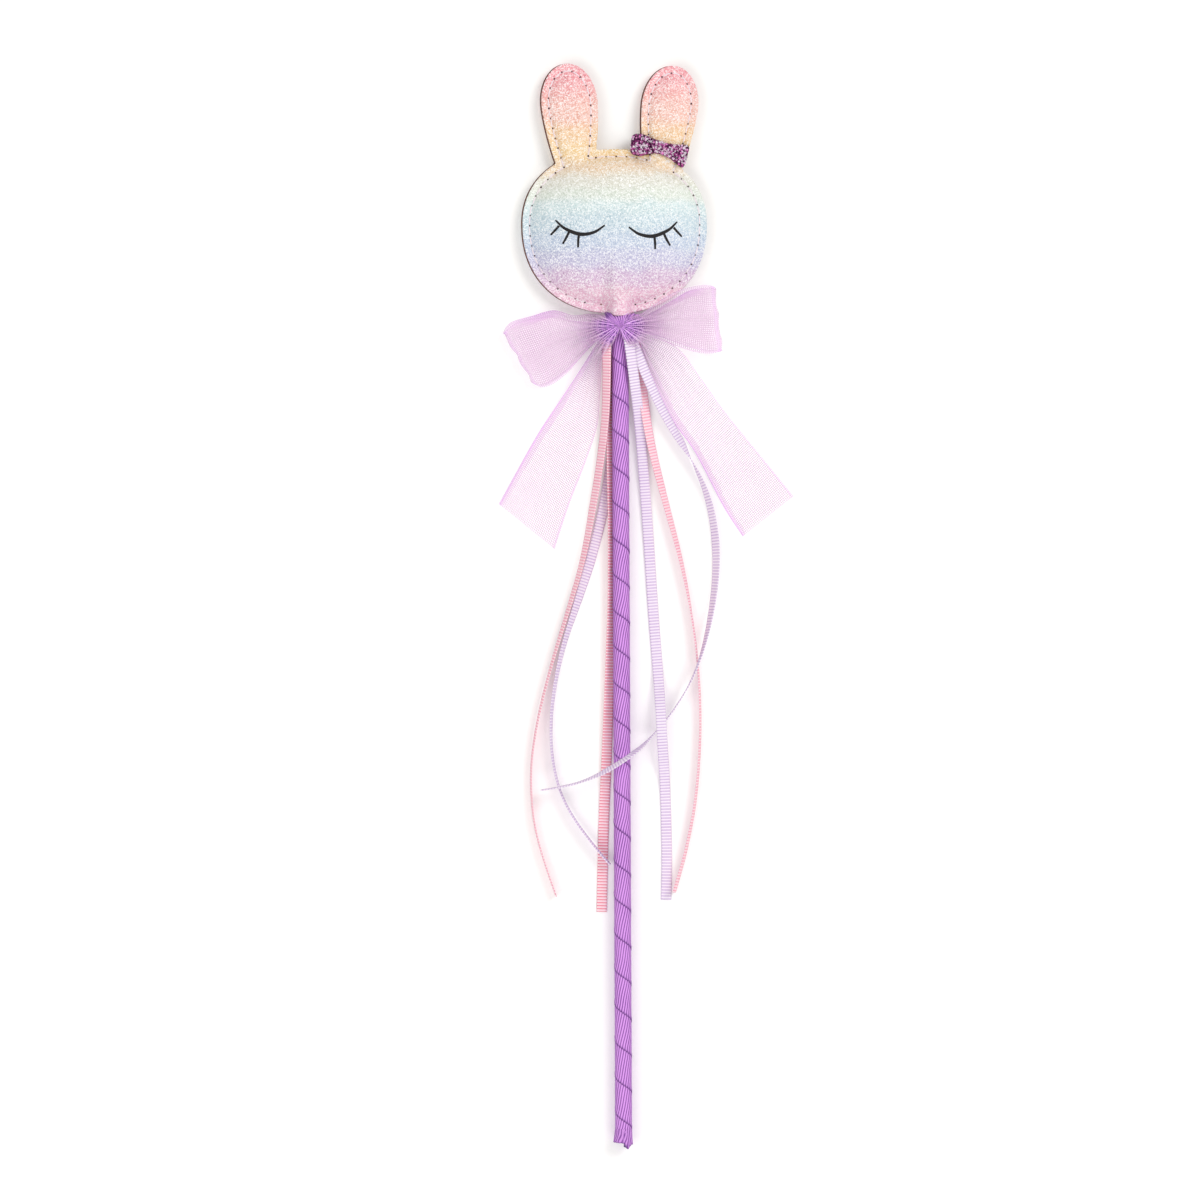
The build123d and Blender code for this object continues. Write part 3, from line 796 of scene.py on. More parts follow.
def ear_line(place, inset):
    """An ear from its right root over the tip to its left root."""
    up = np.linspace(-EAR_ROOT, EAR_WIDE_AT, 200)
    short = (EAR_WIDE_AT - up) / EAR_WIDE_AT
    half = EAR_HALF_WIDTH - EAR_NARROWING * np.clip(short, 0, 1.4) ** 1.6 - inset
    angle = np.radians(np.linspace(0, 180, 240))[1:-1]
    tip = np.stack(
        [(EAR_HALF_WIDTH - inset) * np.cos(angle), EAR_WIDE_AT + (EAR_TIP - inset) * np.sin(angle)], 1
    )
    local = np.vstack([np.stack([half, up], 1), tip, np.stack([-half, up], 1)[::-1]])
    turn = math.radians(place[2])
    return np.stack(
        [
            place[0] + local[:, 0] * math.cos(turn) - local[:, 1] * math.sin(turn),
            place[1] + local[:, 0] * math.sin(turn) + local[:, 1] * math.cos(turn),
        ],
        1,
    )


def head_line(inset, step):
    """The closed outline of head and ears, drawn in by inset, from the chin round to the right."""
    egg = egg_line(inset)
    grown = 1 - inset / 27.0
    right, left = (ear_line(place, inset) for place in (RIGHT_EAR, LEFT_EAR))
    ear_side = np.zeros(len(egg), int)
    for mark, place in ((1, RIGHT_EAR), (2, LEFT_EAR)):
        reach, up = ear_reach(place, egg[:, 0], egg[:, 1])
        ear_side[(reach < 1 - inset / 8.6) & (up > -EAR_ROOT)] = mark
    first, second = (np.flatnonzero(ear_side == mark) for mark in (1, 2))
    right, left = (ear[egg_reach(ear[:, 0], ear[:, 1]) > grown] for ear in (right, left))
    line = np.vstack([egg[: first[0]], right, egg[first[-1] + 1 : second[0]], left, egg[second[-1] + 1 :]])
    line = np.vstack([line, line[:1]])
    count = int(run_length(line) / step)
    return resample(line, count + 1)[:-1]


OUTLINE = head_line(0.0, OUTLINE_STEP)
OUTLINE = (np.roll(OUTLINE, 1, 0) + 2 * OUTLINE + np.roll(OUTLINE, -1, 0)) / 4


def nearest_on_outline(x, y):
    """For each place, its depth inside the outline and the outline's nearest point."""
    places = np.stack([np.ravel(x), np.ravel(y)], 1)
    index = np.zeros(len(places), int)
    for first in range(0, len(places), 3000):
        part = places[first : first + 3000]
        gap = ((part[:, None] - OUTLINE[None]) ** 2).sum(-1)
        index[first : first + 3000] = gap.argmin(1)
    far = np.linalg.norm(places - OUTLINE[index], axis=1)
    depth = np.where(inside_head(places[:, 0], places[:, 1]), far, -far)
    return depth.reshape(np.shape(x)), index.reshape(np.shape(x))


def stick_ridge(x, radius):
    """How far cloth laid over a bar of that radius on the stick's axis stands from the axis."""
    return np.sqrt(np.maximum(radius**2 - (x - STICK_X) ** 2, 0))


def front_height(x, y, depth=None, index=None):
    """The glittered surface of the front panel."""
    if depth is None:
        depth, index = nearest_on_outline(x, y)
    along = index * OUTLINE_STEP
    face = FACE_PUFF * (1 - np.clip(egg_reach(x, y) / 0.9, 0, 1) ** 2.7) ** 0.8
    body = 1.25 * smooth_step(depth, 2.9, 6.8)
    for place in (LEFT_EAR, RIGHT_EAR):
        reach, up = ear_reach(place, x, y)
        ear = EAR_PUFF * (1 - np.clip(reach / 0.7, 0, 1) ** 2.4) ** 0.6
        body = smooth_max(body, ear * smooth_step(up, -6, 3), 0.4)
    height = smooth_max(face, body, 1.1) * smooth_step(depth, 2.3, 3.6)
    ridge = STICK_Z + stick_ridge(x, 3.9) - SEAM_Z - PANEL_T
    over_stick = smooth_max(height, ridge, 0.9) - height
    height = height + over_stick * (1 - smooth_step(y, *STICK_SHOWS)) * (np.abs(x - STICK_X) < 5.5)
    pushed = 1 - smooth_step(y, *CHIN_PUSHED)
    beside = pushed * smooth_step(depth, 1.2, 4.5)
    height += 1.3 * pushed * np.exp(-(((x - STICK_X) / 3.3) ** 4))
    height -= 1.8 * beside * hill(x - STICK_X + 6.0, 2.5)
    height -= 0.8 * beside * hill(x - STICK_X - 6.2, 2.8)
    stitched = smooth_step(np.abs(x - STICK_X), 4.4, 6.0) + (y > HEAD_Y)
    stitched = np.clip(stitched, 0, 1)
    groove = 0.26 * hill(depth - STITCH_INSET, 0.55)
    pucker = 0.15 * np.cos(2 * math.pi * along / STITCH_PITCH) * hill(depth - 3.9, 1.5)
    curl = 0.3 * smooth_step(2.2 - depth, 0, 2.2)
    soft = smooth_step(depth, 3, 8)
    waves = 0.16 * ripples(x, y, 17, 2) * soft + 0.05 * ripples(x, y, 5, 5) * soft
    hump = 0.55 * np.exp(-(((x - 3.6) / 2.8) ** 2) - ((y - 147.4) / 2.6) ** 2)
    hump -= 0.4 * np.exp(-(((x + 1.4) / 2.4) ** 2) - ((y - 148.2) / 2.0) ** 2)
    return SEAM_Z + PANEL_T + height + stitched * (pucker - groove) + curl + waves + hump


def back_height(x, y, depth):
    """The outer, lower surface of the back panel."""
    dish = (SEAM_Z - PANEL_T - 0.02) * (1 - np.clip(egg_reach(x, y) / 0.87, 0, 1) ** 5.0) ** 0.6
    groove = 0.25 * hill(depth - STITCH_INSET, 0.6)
    over_stick = np.maximum(SEAM_Z - PANEL_T - STICK_Z + stick_ridge(x, BACK_RIDGE_R), 0)
    over_stick = over_stick * (1 - smooth_step(y, *STICK_SHOWS))
    waves = 0.12 * ripples(x, y, 9, 8) * smooth_step(depth, 3, 8)
    low = SEAM_Z - PANEL_T - np.maximum(dish, over_stick) + groove + np.maximum(waves, 0)
    return np.maximum(low, 0.02)


def panel(name, step, top, bottom, kinds, shift=(0.0, 0.0), lip=0.0):
    """A panel cut to the bunny's outline, between two heights.  kinds are the materials of its
    top, underside and edge; lip is how far the stick pushes the chin down."""
    low, high = OUTLINE.min(0) - step, OUTLINE.max(0) + step
    xs = np.arange(low[0], high[0] + step, step)
    ys = np.arange(low[1], high[1] + step, step)
    x, y = np.meshgrid(xs, ys)
    depth, index = nearest_on_outline(x, y)
    use = depth > -0.4 * step
    corners = np.array(grid_faces(*x.shape))
    kept = use.ravel()[corners]
    quads = [list(q) for q in corners[kept.all(1)]]
    quads += [[c for c, k in zip(q, keep) if k] for q, keep in zip(corners, kept) if keep.sum() == 3]
    used, rim, faces, counts = two_layers(quads)
    flat_x, flat_y = x.ravel().copy(), y.ravel().copy()
    on_rim = np.unique(np.array(rim).ravel())
    flat_x[on_rim], flat_y[on_rim] = OUTLINE[index.ravel()[on_rim]].T
    depth = depth.ravel()
    depth[on_rim] = 0.0
    px, py, pd, pi = flat_x[used], flat_y[used], depth[used], index.ravel()[used]
    hang = lip * np.exp(-(((px - STICK_X) / 3.8) ** 4)) * (1 - smooth_step(pd, 0, 8)) * (py < HEAD_Y)
    upper = np.stack([px + shift[0], py + shift[1] - hang, top(px, py, pd, pi)], 1)
    lower = np.stack([px + shift[0], py + shift[1] - hang, bottom(px, py, pd, pi)], 1)
    materials = ["glitter_sheet", "brown_backing"]
    return piece(name, np.vstack([upper, lower]), faces, materials, kinds=np.repeat(kinds, counts))


front = panel(
    "head_front_panel", 0.45, front_height,
    lambda x, y, d, i: front_height(x, y, d, i) - PANEL_T,
    (0, 1, 1), lip=1.1,
)
panel(
    "head_back_panel", 0.7,
    lambda x, y, d, i: np.minimum(back_height(x, y, d) + PANEL_T, SEAM_Z),
    lambda x, y, d, i: back_height(x, y, d),
    (1, 0, 1), shift=(-0.5, 0.12),
)


def filling(name, wanted):
    """Loose fibre inside the panels, on a coarse grid."""
    step = 1.0
    low, high = OUTLINE.min(0), OUTLINE.max(0)
    x, y = np.meshgrid(np.arange(low[0], high[0], step), np.arange(low[1], high[1], step))
    depth, index = nearest_on_outline(x, y)
    use = (depth > 4.2) & wanted(x, y)
    use &= (np.abs(x - STICK_X) > 3.6) | (y > dowel_high[1] + 1)
    corners = np.array(grid_faces(*x.shape))
    quads = corners[use.ravel()[corners].all(1)].tolist()
    used, _, faces, _ = two_layers(quads)
    px, py, pd, pi = (v.ravel()[used] for v in (x, y, depth, index))
    top = front_height(px, py, pd, pi) - PANEL_T - 0.15
    low_side = np.minimum(back_height(px, py, pd) + PANEL_T + 0.15, top - 0.2)
    points = np.vstack([np.stack([px, py, top], 1), np.stack([px, py, low_side], 1)])
    piece(name, points, faces, ["fibre_filling"])


filling("head_stuffing", lambda x, y: egg_reach(x, y) < 0.9)
filling("left_ear_stuffing", lambda x, y: (egg_reach(x, y) > 0.93) & (x < HEAD_X))
filling("right_ear_stuffing", lambda x, y: (egg_reach(x, y) > 0.93) & (x > HEAD_X))


# ---- stitches -----------------------------------------------------------------------------------


def tube(line, radius, sides):
    """Points and faces of a tube; radius is per station."""
    level, above = directions(line)
    turn = 2 * math.pi * np.arange(sides) / sides
    ring = level[:, None] * np.cos(turn)[None, :, None] + above[:, None] * np.sin(turn)[None, :, None]
    points = line[:, None] + ring * np.asarray(radius)[:, None, None]
    faces = ring_faces(len(line), sides)
    return points.reshape(-1, 3), faces + end_caps(len(line), sides)


def gather(parts):
    """Several (points, faces) as one."""
    points, faces, start = [], [], 0
    for some, joined in parts:
        points.append(some)
        faces += [[start + c for c in f] for f in joined]
        start += len(some)
    return np.vstack(points), faces


def stitches(name, height, side):
    """Thread from hole to hole round the head, with a flat dark disc at each end: painted shade of the needle
    hole.  side is 1 on the front and -1 on the back."""
    seam = head_line(STITCH_INSET, SEAM_STEP)
    length = SEAM_STEP * len(seam)
    count = round(length / STITCH_PITCH)
    threads, holes = [], []
    for k in range(count):
        ends = [(k + share) * length / count for share in (0.0, 1.0)]
        places = seam[(np.linspace(*ends, 9) / SEAM_STEP).astype(int) % len(seam)]
        if (np.abs(places[:, 0] - STICK_X + 1.6) < CHIN_GAP / 2).any() and places[0, 1] < HEAD_Y:
            continue
        level = height(places[:, 0], places[:, 1])
        arc = np.sin(np.linspace(0, math.pi, 9))
        jitter = RANDOM.normal(0, 0.05, 2)
        body = np.column_stack([places + jitter, level + side * (0.01 + 0.12 * arc)])
        threads.append(tube(body[1:-1], 0.16 + 0.07 * arc[1:-1], 7))
        # a flat dark disc at the hole: painted shade of the hole
        turn = 2 * math.pi * np.arange(8) / 8
        size = 0.3 + RANDOM.normal(0, 0.03)
        spot = places[0] + size * np.stack([np.cos(turn), np.sin(turn)], 1)
        disc = np.column_stack([spot, height(spot[:, 0], spot[:, 1]) + side * 0.05])
        holes.append((disc, [list(range(8))[::side]]))
    points, faces = gather(threads + holes)
    kinds = [0] * (len(faces) - len(holes)) + [1] * len(holes)
    piece(name, points, faces, ["white_thread", "needle_hole"], kinds=kinds, closed=False)


stitches("needle_thread", front_height, 1)
stitches("bobbin_thread", lambda x, y: back_height(x, y, nearest_on_outline(x, y)[0]), -1)


# ---- face ---------------------------------------------------------------------------------------

EYE_AXIS_X = HEAD_X + 0.7
EYE_ARC = [(20.4, 128.3), (17.2, 125.4), (12.2, 123.4), (7.6, 124.0), (4.0, 126.3)]
LASHES = [
    [(19.2, 126.4), (20.4, 125.1), (22.0, 123.5)],
    [(15.9, 124.2), (16.8, 122.4), (18.0, 120.4)],
    [(12.6, 123.4), (12.85, 121.3), (12.9, 119.1)],
]


STROKE_STATIONS = 28


def painted_stroke(places, widths, side, drop):
    """A flat raised brush line on the face."""
    line = curve_through([(EYE_AXIS_X + side * x, y - drop) for x, y in places], STROKE_STATIONS)
    ahead = unit(np.gradient(line, axis=0))
    across = np.stack([-ahead[:, 1], ahead[:, 0]], 1)
    half = np.interp(np.linspace(0, 1, STROKE_STATIONS), np.linspace(0, 1, len(widths)), widths) / 2
    rows = [line + across * (half * share)[:, None] for share in (-1, -0.6, 0, 0.6, 1)]
    points = []
    for row, lift in zip(rows, (0.01, 0.09, 0.11, 0.09, 0.01)):
        points.append(np.column_stack([row, front_height(row[:, 0], row[:, 1]) + lift]))
    bottom = np.column_stack([rows[2], front_height(rows[2][:, 0], rows[2][:, 1]) - 0.12])
    ring = np.stack(points + [bottom], 1)
    faces = ring_faces(STROKE_STATIONS, 6) + end_caps(STROKE_STATIONS, 6, turned=True)
    return ring.reshape(-1, 3), faces


for name, side, drop in (("left_eye", -1, 0.25), ("right_eye", 0.98, 0.95)):
    strokes = [painted_stroke(EYE_ARC, [0.5, 0.85, 1.15, 1.25, 1.1, 0.85, 0.55], side, drop)]
    strokes += [painted_stroke(lash, [0.82, 0.8, 0.66], side, drop) for lash in LASHES]
    piece(name, *gather(strokes), ["black_print"])


BOW_TOP = [
    (-4.3, 156.0), (-3.2, 157.2), (-0.1, 157.0), (3.4, 155.4), (7.2, 154.0), (10.6, 153.6),
    (14.2, 153.4), (14.9, 152.4),
]
BOW_LOW = [
    (-4.7, 152.0), (-4.2, 150.5), (-1.8, 149.8), (1.2, 150.3), (4.2, 150.5), (8.2, 148.9),
    (12.2, 146.0), (13.6, 147.2),
]
FLAKES = 520


def make_ear_bow():
    """A strip of chunky glitter sheet pinched in the middle, with loose flakes standing on it."""
    count, columns = 56, 19
    top, low = curve_through(BOW_TOP, count), curve_through(BOW_LOW, count)
    share = np.linspace(0, 1, columns)[None, :, None]
    plan = low[:, None] * (1 - share) + top[:, None] * share
    u = np.linspace(-1, 1, count)[:, None]
    v = np.linspace(-1, 1, columns)[None, :]
    waist = np.exp(-((u - 0.08) / 0.2) ** 2)
    lobe = np.sqrt(np.clip(1 - v**6, 0, 1)) * (0.75 + 0.3 * np.cos(2.6 * u) * np.cos(1.4 * v))
    lift = 1.35 * lobe * (1 - 0.35 * waist) + 0.3 * waist * np.cos(math.pi * v * 1.6)
    base = front_height(plan[..., 0], plan[..., 1])
    base = np.maximum(base, SEAM_Z + PANEL_T + 0.3)
    upper = np.dstack([plan, base + 0.45 + lift])
    under = np.dstack([plan, base + 0.15 + 0 * lift])
    ring = np.concatenate([upper, under[:, ::-1]], 1)
    faces = ring_faces(count, 2 * columns) + end_caps(count, 2 * columns, turned=True)
    parts = [(ring.reshape(-1, 3), faces)]
    own = [np.zeros(ring[..., 0].size)]
    turn = 2 * math.pi * np.arange(6) / 6
    for _ in range(FLAKES):
        i, j = RANDOM.integers(1, count - 2), RANDOM.integers(1, columns - 2)
        s, t = RANDOM.random(2)
        spot = (
            upper[i, j] * (1 - s) * (1 - t) + upper[i + 1, j] * s * (1 - t)
            + upper[i, j + 1] * (1 - s) * t + upper[i + 1, j + 1] * s * t
        )
        first, second = upper[i + 1, j] - upper[i, j], upper[i, j + 1] - upper[i, j]
        facing = np.cross(first, second)
        facing = unit(facing if facing[2] > 0 else -facing) + RANDOM.normal(0, 0.2, 3)
        facing = unit(facing)
        a = unit(np.cross(facing, [0.3, 0.9, 0.1]))
        b = np.cross(facing, a)
        size = RANDOM.uniform(0.26, 0.46)
        spot = spot + facing * RANDOM.uniform(0.05, 0.2)
        hexagon = spot + size * (np.cos(turn)[:, None] * a + np.sin(turn)[:, None] * b)
        parts.append((hexagon, [list(range(6))]))
        own.append(np.full(6, RANDOM.random()))
    points, faces = gather(parts)
    made = piece("ear_bow", points, faces, ["chunky_glitter"], closed=False)
    set_attribute(made, "flake", np.concatenate(own))
    made.data.polygons.foreach_set("use_smooth", np.zeros(len(made.data.polygons), bool))


make_ear_bow()


# ---- organza bow --------------------------------------------------------------------------------

ORGANZA_WIDTH = 25.0


LOWEST = 0.2


def organza(name, first, second, count, columns, folds, body, hems, gathers, cover):
    """Sheer ribbon between its two edge lines.  Where the edges are closer than the ribbon is wide,
    the rest of the width stands in pleats: folds are (number across, share per station).  gathers
    are how dense it gets where pleated, and the gap between the edges at which that starts."""
    a, b = curve_through(first, count), curve_through(second, count)
    t = np.linspace(0, 1, columns)[None, :]
    along = np.linspace(0, 1, count)
    middle = (a + b) / 2
    ahead = unit(np.gradient(middle, axis=0))
    normal = unit(np.cross(b - a, ahead))
    gap = np.linalg.norm(b - a, axis=1)
    spare = np.sqrt(np.maximum(ORGANZA_WIDTH**2 - gap**2, 0))
    points = a[:, None] * (1 - t[..., None]) + b[:, None] * t[..., None]
    drift = 0.25 * np.sin(7 * along)[:, None]
    stand = 0
    for number, share, phase in folds:
        size = spare / (4 * number) * np.interp(along, *zip(*share))
        warped = t + 0.035 * np.sin(2 * math.pi * t * 2 + phase) * (1 - t) * t * 4
        stand = stand + size[:, None] * np.sin(2 * math.pi * number * warped + phase + drift)
    ends = np.clip(np.minimum(t, 1 - t) / 0.03, 0, 1)
    points = points + normal[:, None] * (stand * ends)[..., None]
    points[..., 2] = np.maximum(points[..., 2], LOWEST + 0.02 * np.sin(40 * t))
    run = np.concatenate([[0], np.cumsum(np.linalg.norm(np.diff(middle, axis=0), axis=1))])
    uv = stacked(t * ORGANZA_WIDTH, run[:, None])
    made = piece(
        name, points.reshape(-1, 3), grid_faces(count, columns), ["lilac_organza"], body,
        uv=uv.reshape(-1, 2), closed=False,
    )
    from_edge = np.minimum(t, 1 - t) * ORGANZA_WIDTH
    dense = np.where(from_edge < hems, 0.3, 0.0) + np.clip(1.0 - gap / gathers[1], 0, 1)[:, None] * gathers[0]
    dense = dense + cover(along[:, None], t)
    set_attribute(made, "dense", np.broadcast_to(dense, (count, columns)).ravel())
    # painted shade in the pleats' valleys, stronger where the edges come close
    valley = 0.5 * np.clip(-stand, 0, 0.9) * np.clip(1.0 - gap / 18, 0, 1)[:, None]
    set_attribute(made, "crease", np.broadcast_to(valley, (count, columns)).ravel())
    return made, run[-1]


LOOP_FOLDS = [
    (7, [(0, 1.0), (0.2, 0.55), (0.36, 0.12), (0.5, 0.0), (0.64, 0.12), (0.8, 0.55), (1, 1.0)], 0.4),
    (2.5, [(0, 0.0), (0.2, 0.45), (0.36, 0.75), (0.5, 0.15), (0.64, 0.75), (0.8, 0.45), (1, 0.0)], 1.1),
]

LEFT_LOOP_TOP = [
    (-9.0, 94.6, 7.0), (-13.5, 95.2, 7.2), (-18.5, 94.6, 7.0), (-24, 94.9, 6.9), (-30, 96.4, 7.0),
    (-37, 95.8, 6.6), (-43.6, 94.2, 5.6), (-47.4, 91.0, 3.6), (-45.0, 94.8, 1.9), (-38, 97.0, 1.1),
    (-30.5, 98.9, 1.0), (-24, 97.2, 1.2), (-18, 97.6, 1.8), (-12, 96.6, 3.0),
]
LEFT_LOOP_LOW = [
    (-9.0, 90.6, 7.0), (-13.0, 90.2, 7.0), (-16.8, 87.8, 6.8), (-20.5, 84.0, 6.6), (-25.6, 78.0, 6.4),
    (-30.4, 74.2, 5.8), (-34.4, 72.9, 5.0), (-38.0, 74.6, 3.5), (-34.6, 73.6, 1.9), (-30.8, 75.2, 1.1),
    (-25.0, 79.6, 1.0), (-20.0, 84.8, 1.2), (-16.0, 88.6, 2.0), (-12.0, 91.0, 3.0),
]
RIGHT_LOOP_TOP = [
    (-5.8, 95.2, 7.6), (-2.2, 96.6, 7.6), (2.0, 99.4, 7.4), (6.6, 102.6, 7.0), (11.4, 105.0, 6.6),
    (16.4, 106.3, 6.0), (20.6, 106.8, 5.2), (23.4, 106.0, 3.8), (20.4, 106.2, 1.9), (15.0, 105.4, 1.1),
    (10.0, 102.6, 1.0), (5.0, 99.6, 1.2), (1.0, 97.2, 2.0), (-3.0, 95.4, 3.0),
]
RIGHT_LOOP_LOW = [
    (-5.8, 90.8, 7.2), (-2.0, 90.4, 7.2), (2.2, 89.6, 7.0), (6.6, 87.8, 6.8), (11.2, 86.0, 6.4),
    (16.4, 84.4, 5.6), (21.8, 83.9, 5.0), (25.8, 84.9, 3.8), (22.0, 84.6, 1.9), (17.0, 85.6, 1.1),
    (11.6, 87.4, 1.0), (6.6, 89.2, 1.2), (2.0, 90.6, 2.0), (-3.0, 91.4, 3.0),
]


def loop_cover(along, t):
    """The loops' upper edge curls over itself, and the turned end is dense."""
    curled = hill(along - 0.72, 0.12) * (t < 0.11)
    turned = hill(along - 0.5, 0.012)
    return 0.5 * curled + 0.5 * turned


for name, top, low in (
    ("bow_left_loop", LEFT_LOOP_TOP, LEFT_LOOP_LOW),
    ("bow_right_loop", RIGHT_LOOP_TOP, RIGHT_LOOP_LOW),
):
    made, length = organza(
        name, top, low, 140, 76, LOOP_FOLDS, "wand", hems=0.7, gathers=(0.95, 13), cover=loop_cover
    )

TAIL_FOLDS = [
    (6, [(0, 1.0), (0.2, 0.7), (0.45, 0.15), (0.7, 0.0), (1, 0.0)], 0.3),
    (2, [(0, 0.0), (0.2, 0.2), (0.45, 0.2), (0.7, 0.15), (1, 0.05)], 0.9),
]
LEFT_TAIL_OUTER = [
    (-14.4, 89.6, 4.2), (-17.4, 85.6, 4.8), (-21.4, 79.4, 3.4), (-26.1, 72.4, 1.9), (-31.0, 65.2, 0.9),
    (-36.4, 57.0, 0.5), (-42.8, 45.8, 0.4), (-49.2, 34.2, 0.35),
]
LEFT_TAIL_INNER = [
    (-12.0, 88.0, 4.0), (-14.4, 83.6, 4.4), (-14.8, 77.0, 2.8), (-15.2, 70.0, 1.6), (-16.2, 60.0, 0.6),
    (-20.2, 47.8, 0.4), (-25.6, 34.0, 0.35), (-30.6, 19.0, 0.3),
]
RIGHT_TAIL_OUTER = [
    (-1.2, 90.2, 4.2), (5.4, 88.8, 4.8), (11.6, 85.2, 3.6), (18.6, 76.0, 2.0), (24.2, 68.0, 1.0),
    (29.7, 60.8, 0.6), (39.6, 48.6, 0.4), (49.3, 36.4, 0.35),
]
RIGHT_TAIL_INNER = [
    (-1.8, 88.0, 4.0), (-0.4, 82.6, 4.4), (2.6, 75.0, 2.8), (6.0, 67.6, 1.4), (9.8, 60.6, 0.7),
    (16.6, 51.0, 0.45), (25.8, 33.2, 0.35), (32.3, 23.0, 0.3),
]
for name, outer, inner, body, doubled in (
    ("bow_left_tail", LEFT_TAIL_OUTER, LEFT_TAIL_INNER, "left_tail", lambda t: t),
    ("bow_right_tail", RIGHT_TAIL_OUTER, RIGHT_TAIL_INNER, "right_tail", lambda t: 1 - t),
):

    def tail_cover(along, t):
        """One edge of each tail is folded over, and looks denser."""
        return (0.36 * (doubled(t) < 0.2 - 0.13 * along) + 0.2 * (doubled(t) < 0.04)) * (1 - 0.5 * along)

    made, length = organza(
        name, outer, inner, 110, 72, TAIL_FOLDS, None, hems=0.8, gathers=(0.55, 10), cover=tail_cover
    )
    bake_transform(made)


def pleated_band(places, halves, pleats, depth, count=56, columns=41):
    """A gathered length of ribbon lying along a few points, crowned and pleated across."""
    line = curve_through(places, count)
    level, above = directions(line)
    share = np.linspace(0, 1, count)
    width = np.interp(share, np.linspace(0, 1, len(halves)), halves)
    spread = np.linspace(-1, 1, columns)[None, :]
    wave = np.cos(math.pi * (pleats * spread + 0.5 * np.sin(3 * share)[:, None] * spread))
    crown = np.sqrt(1 - 0.94 * spread**2)
    top = depth[0] * (crown - 1) + depth[1] * wave * (0.4 + 0.6 * crown)
    points, faces, uv = strip(line, level, above, width, top, 0.5, run_length(line) / count)
    # painted shade in the pleats' valleys
    crease = np.clip(0.5 - 0.5 * wave, 0, 1) ** 1.5
    return points, faces, uv, np.concatenate([crease, crease], 1).ravel(), np.repeat(share, 2 * columns)


BURST_MIDDLE = (-8.6, 93.2, 9.1)
# direction in degrees, reach, height of the end, and the share of the reach where it thins out
BURST = [
    (-180, 13.6, 7.6, 0.05), (-165, 13.4, 7.5, 0.05), (-150, 13.0, 7.0, 0.06), (-138, 12.8, 6.4, 0.08),
    (-128, 12.6, 6.1, 0.1), (-119, 11.8, 6.1, 0.12), (-114, 8.8, 6.6, 0.2), (-109, 5.8, 7.4, 0.3),
    (-102, 3.2, 8.4, 0.5), (-94, 1.6, 8.9, 0.7), (-84, 1.6, 8.9, 0.7), (-77, 4.0, 8.4, 0.5),
    (-71, 7.0, 8.2, 0.45), (-62, 8.2, 8.1, 0.4), (-54, 9.4, 8.0, 0.3), (-44, 11.4, 7.8, 0.15),
    (-34, 12.4, 7.7, 0.1), (-20, 12.8, 7.8, 0.06), (0, 13.2, 8.0, 0.05), (14, 12.4, 8.0, 0.08),
    (24, 8.6, 8.0, 0.2), (38, 5.6, 6.4, 0.7), (60, 4.5, 5.8, 0.9), (90, 4.1, 5.8, 0.9),
    (120, 4.5, 5.8, 0.9), (142, 5.6, 6.4, 0.7), (158, 9.0, 7.4, 0.2), (168, 12.8, 7.6, 0.08),
    (180, 13.6, 7.6, 0.05),
]


def starburst():
    """The fine pleats that fan out from the knot into loops and tails, thinning at their ends."""
    rows, columns = 44, 1400
    turn = np.linspace(-180, 180, columns, endpoint=False)
    reach, end, thins = (np.interp(turn, [b[0] for b in BURST], [b[k] for b in BURST]) for k in (1, 2, 3))
    turn = np.radians(turn)
    share = np.linspace(0.02, 1, rows)[:, None]
    reach = reach * (1 + 0.02 * np.cos(17 * turn) + 0.015 * np.sin(41 * turn))
    wander = 1.6 * np.sin(5 * turn + 1) + 1.3 * np.sin(13 * turn) + 0.8 * np.sin(9 * turn + 5 * share)
    wander = wander + 1.4 * np.sin(7 * turn + 8 * share) * share
    gone = share * reach
    few, many = 1 - smooth_step(gone, 2.6, 4.6), smooth_step(gone, 6.5, 9.0)
    wave = few * np.cos(27 * turn + 0.5 * wander) + many * np.cos(62 * turn + wander)
    wave = wave + (1 - few - many) * np.cos(44 * turn + 0.8 * wander) + 0.3 * np.cos(2.2 * wander + 53 * turn)
    size = 0.3 * smooth_step(gone, 0.4, 3.5) * (1 - 0.6 * share)
    rise = end + (BURST_MIDDLE[2] - end) * (1 - share**1.7) + size * wave
    x, y = BURST_MIDDLE[0] + gone * np.cos(turn), BURST_MIDDLE[1] + gone * np.sin(turn)
    upper, lower = np.stack([x, y, rise], -1), np.stack([x, y, rise - 0.22], -1)
    top_faces = ring_faces(rows, columns)
    low_faces = [f[::-1] for f in ring_faces(rows, columns, rows * columns)]
    outer = (rows - 1) * columns
    rims = []
    for k in range(columns):
        here, there = outer + k, outer + (k + 1) % columns
        rims.append([there, here, here + rows * columns, there + rows * columns])
    caps = [list(range(columns))[::-1], list(range(rows * columns, (rows + 1) * columns))]
    # painted shade in the pleats' valleys and painted highlight on their tops, patchy along them, weaker at
    # the very middle and towards the ends
    patchy = 0.68 + 0.32 * np.sin(11 * turn + 3.6 * gone + 3 * np.sin(5 * turn))
    dark, light = np.clip(0.3 - 1.7 * wave, 0, 1), np.clip(1.3 * wave - 0.3, 0, 1)
    crease = np.where(wave < 0.1, dark, -0.55 * light) * patchy
    crease = crease * (0.5 + 0.5 * smooth_step(gone, 0.4, 1.6)) * (1 - 0.6 * smooth_step(share, 0.4, 0.95))
    cloth = 1.7 - 2.1 * smooth_step(share, thins[None, :], 1.0)
    uv = stacked(turn * 4.6, gone).reshape(-1, 2)
    points = np.vstack([upper.reshape(-1, 3), lower.reshape(-1, 3)])
    faces = top_faces + low_faces + rims + caps
    return points, faces, np.vstack([uv, uv]), np.tile(crease.ravel(), 2), np.tile(cloth.ravel(), 2)


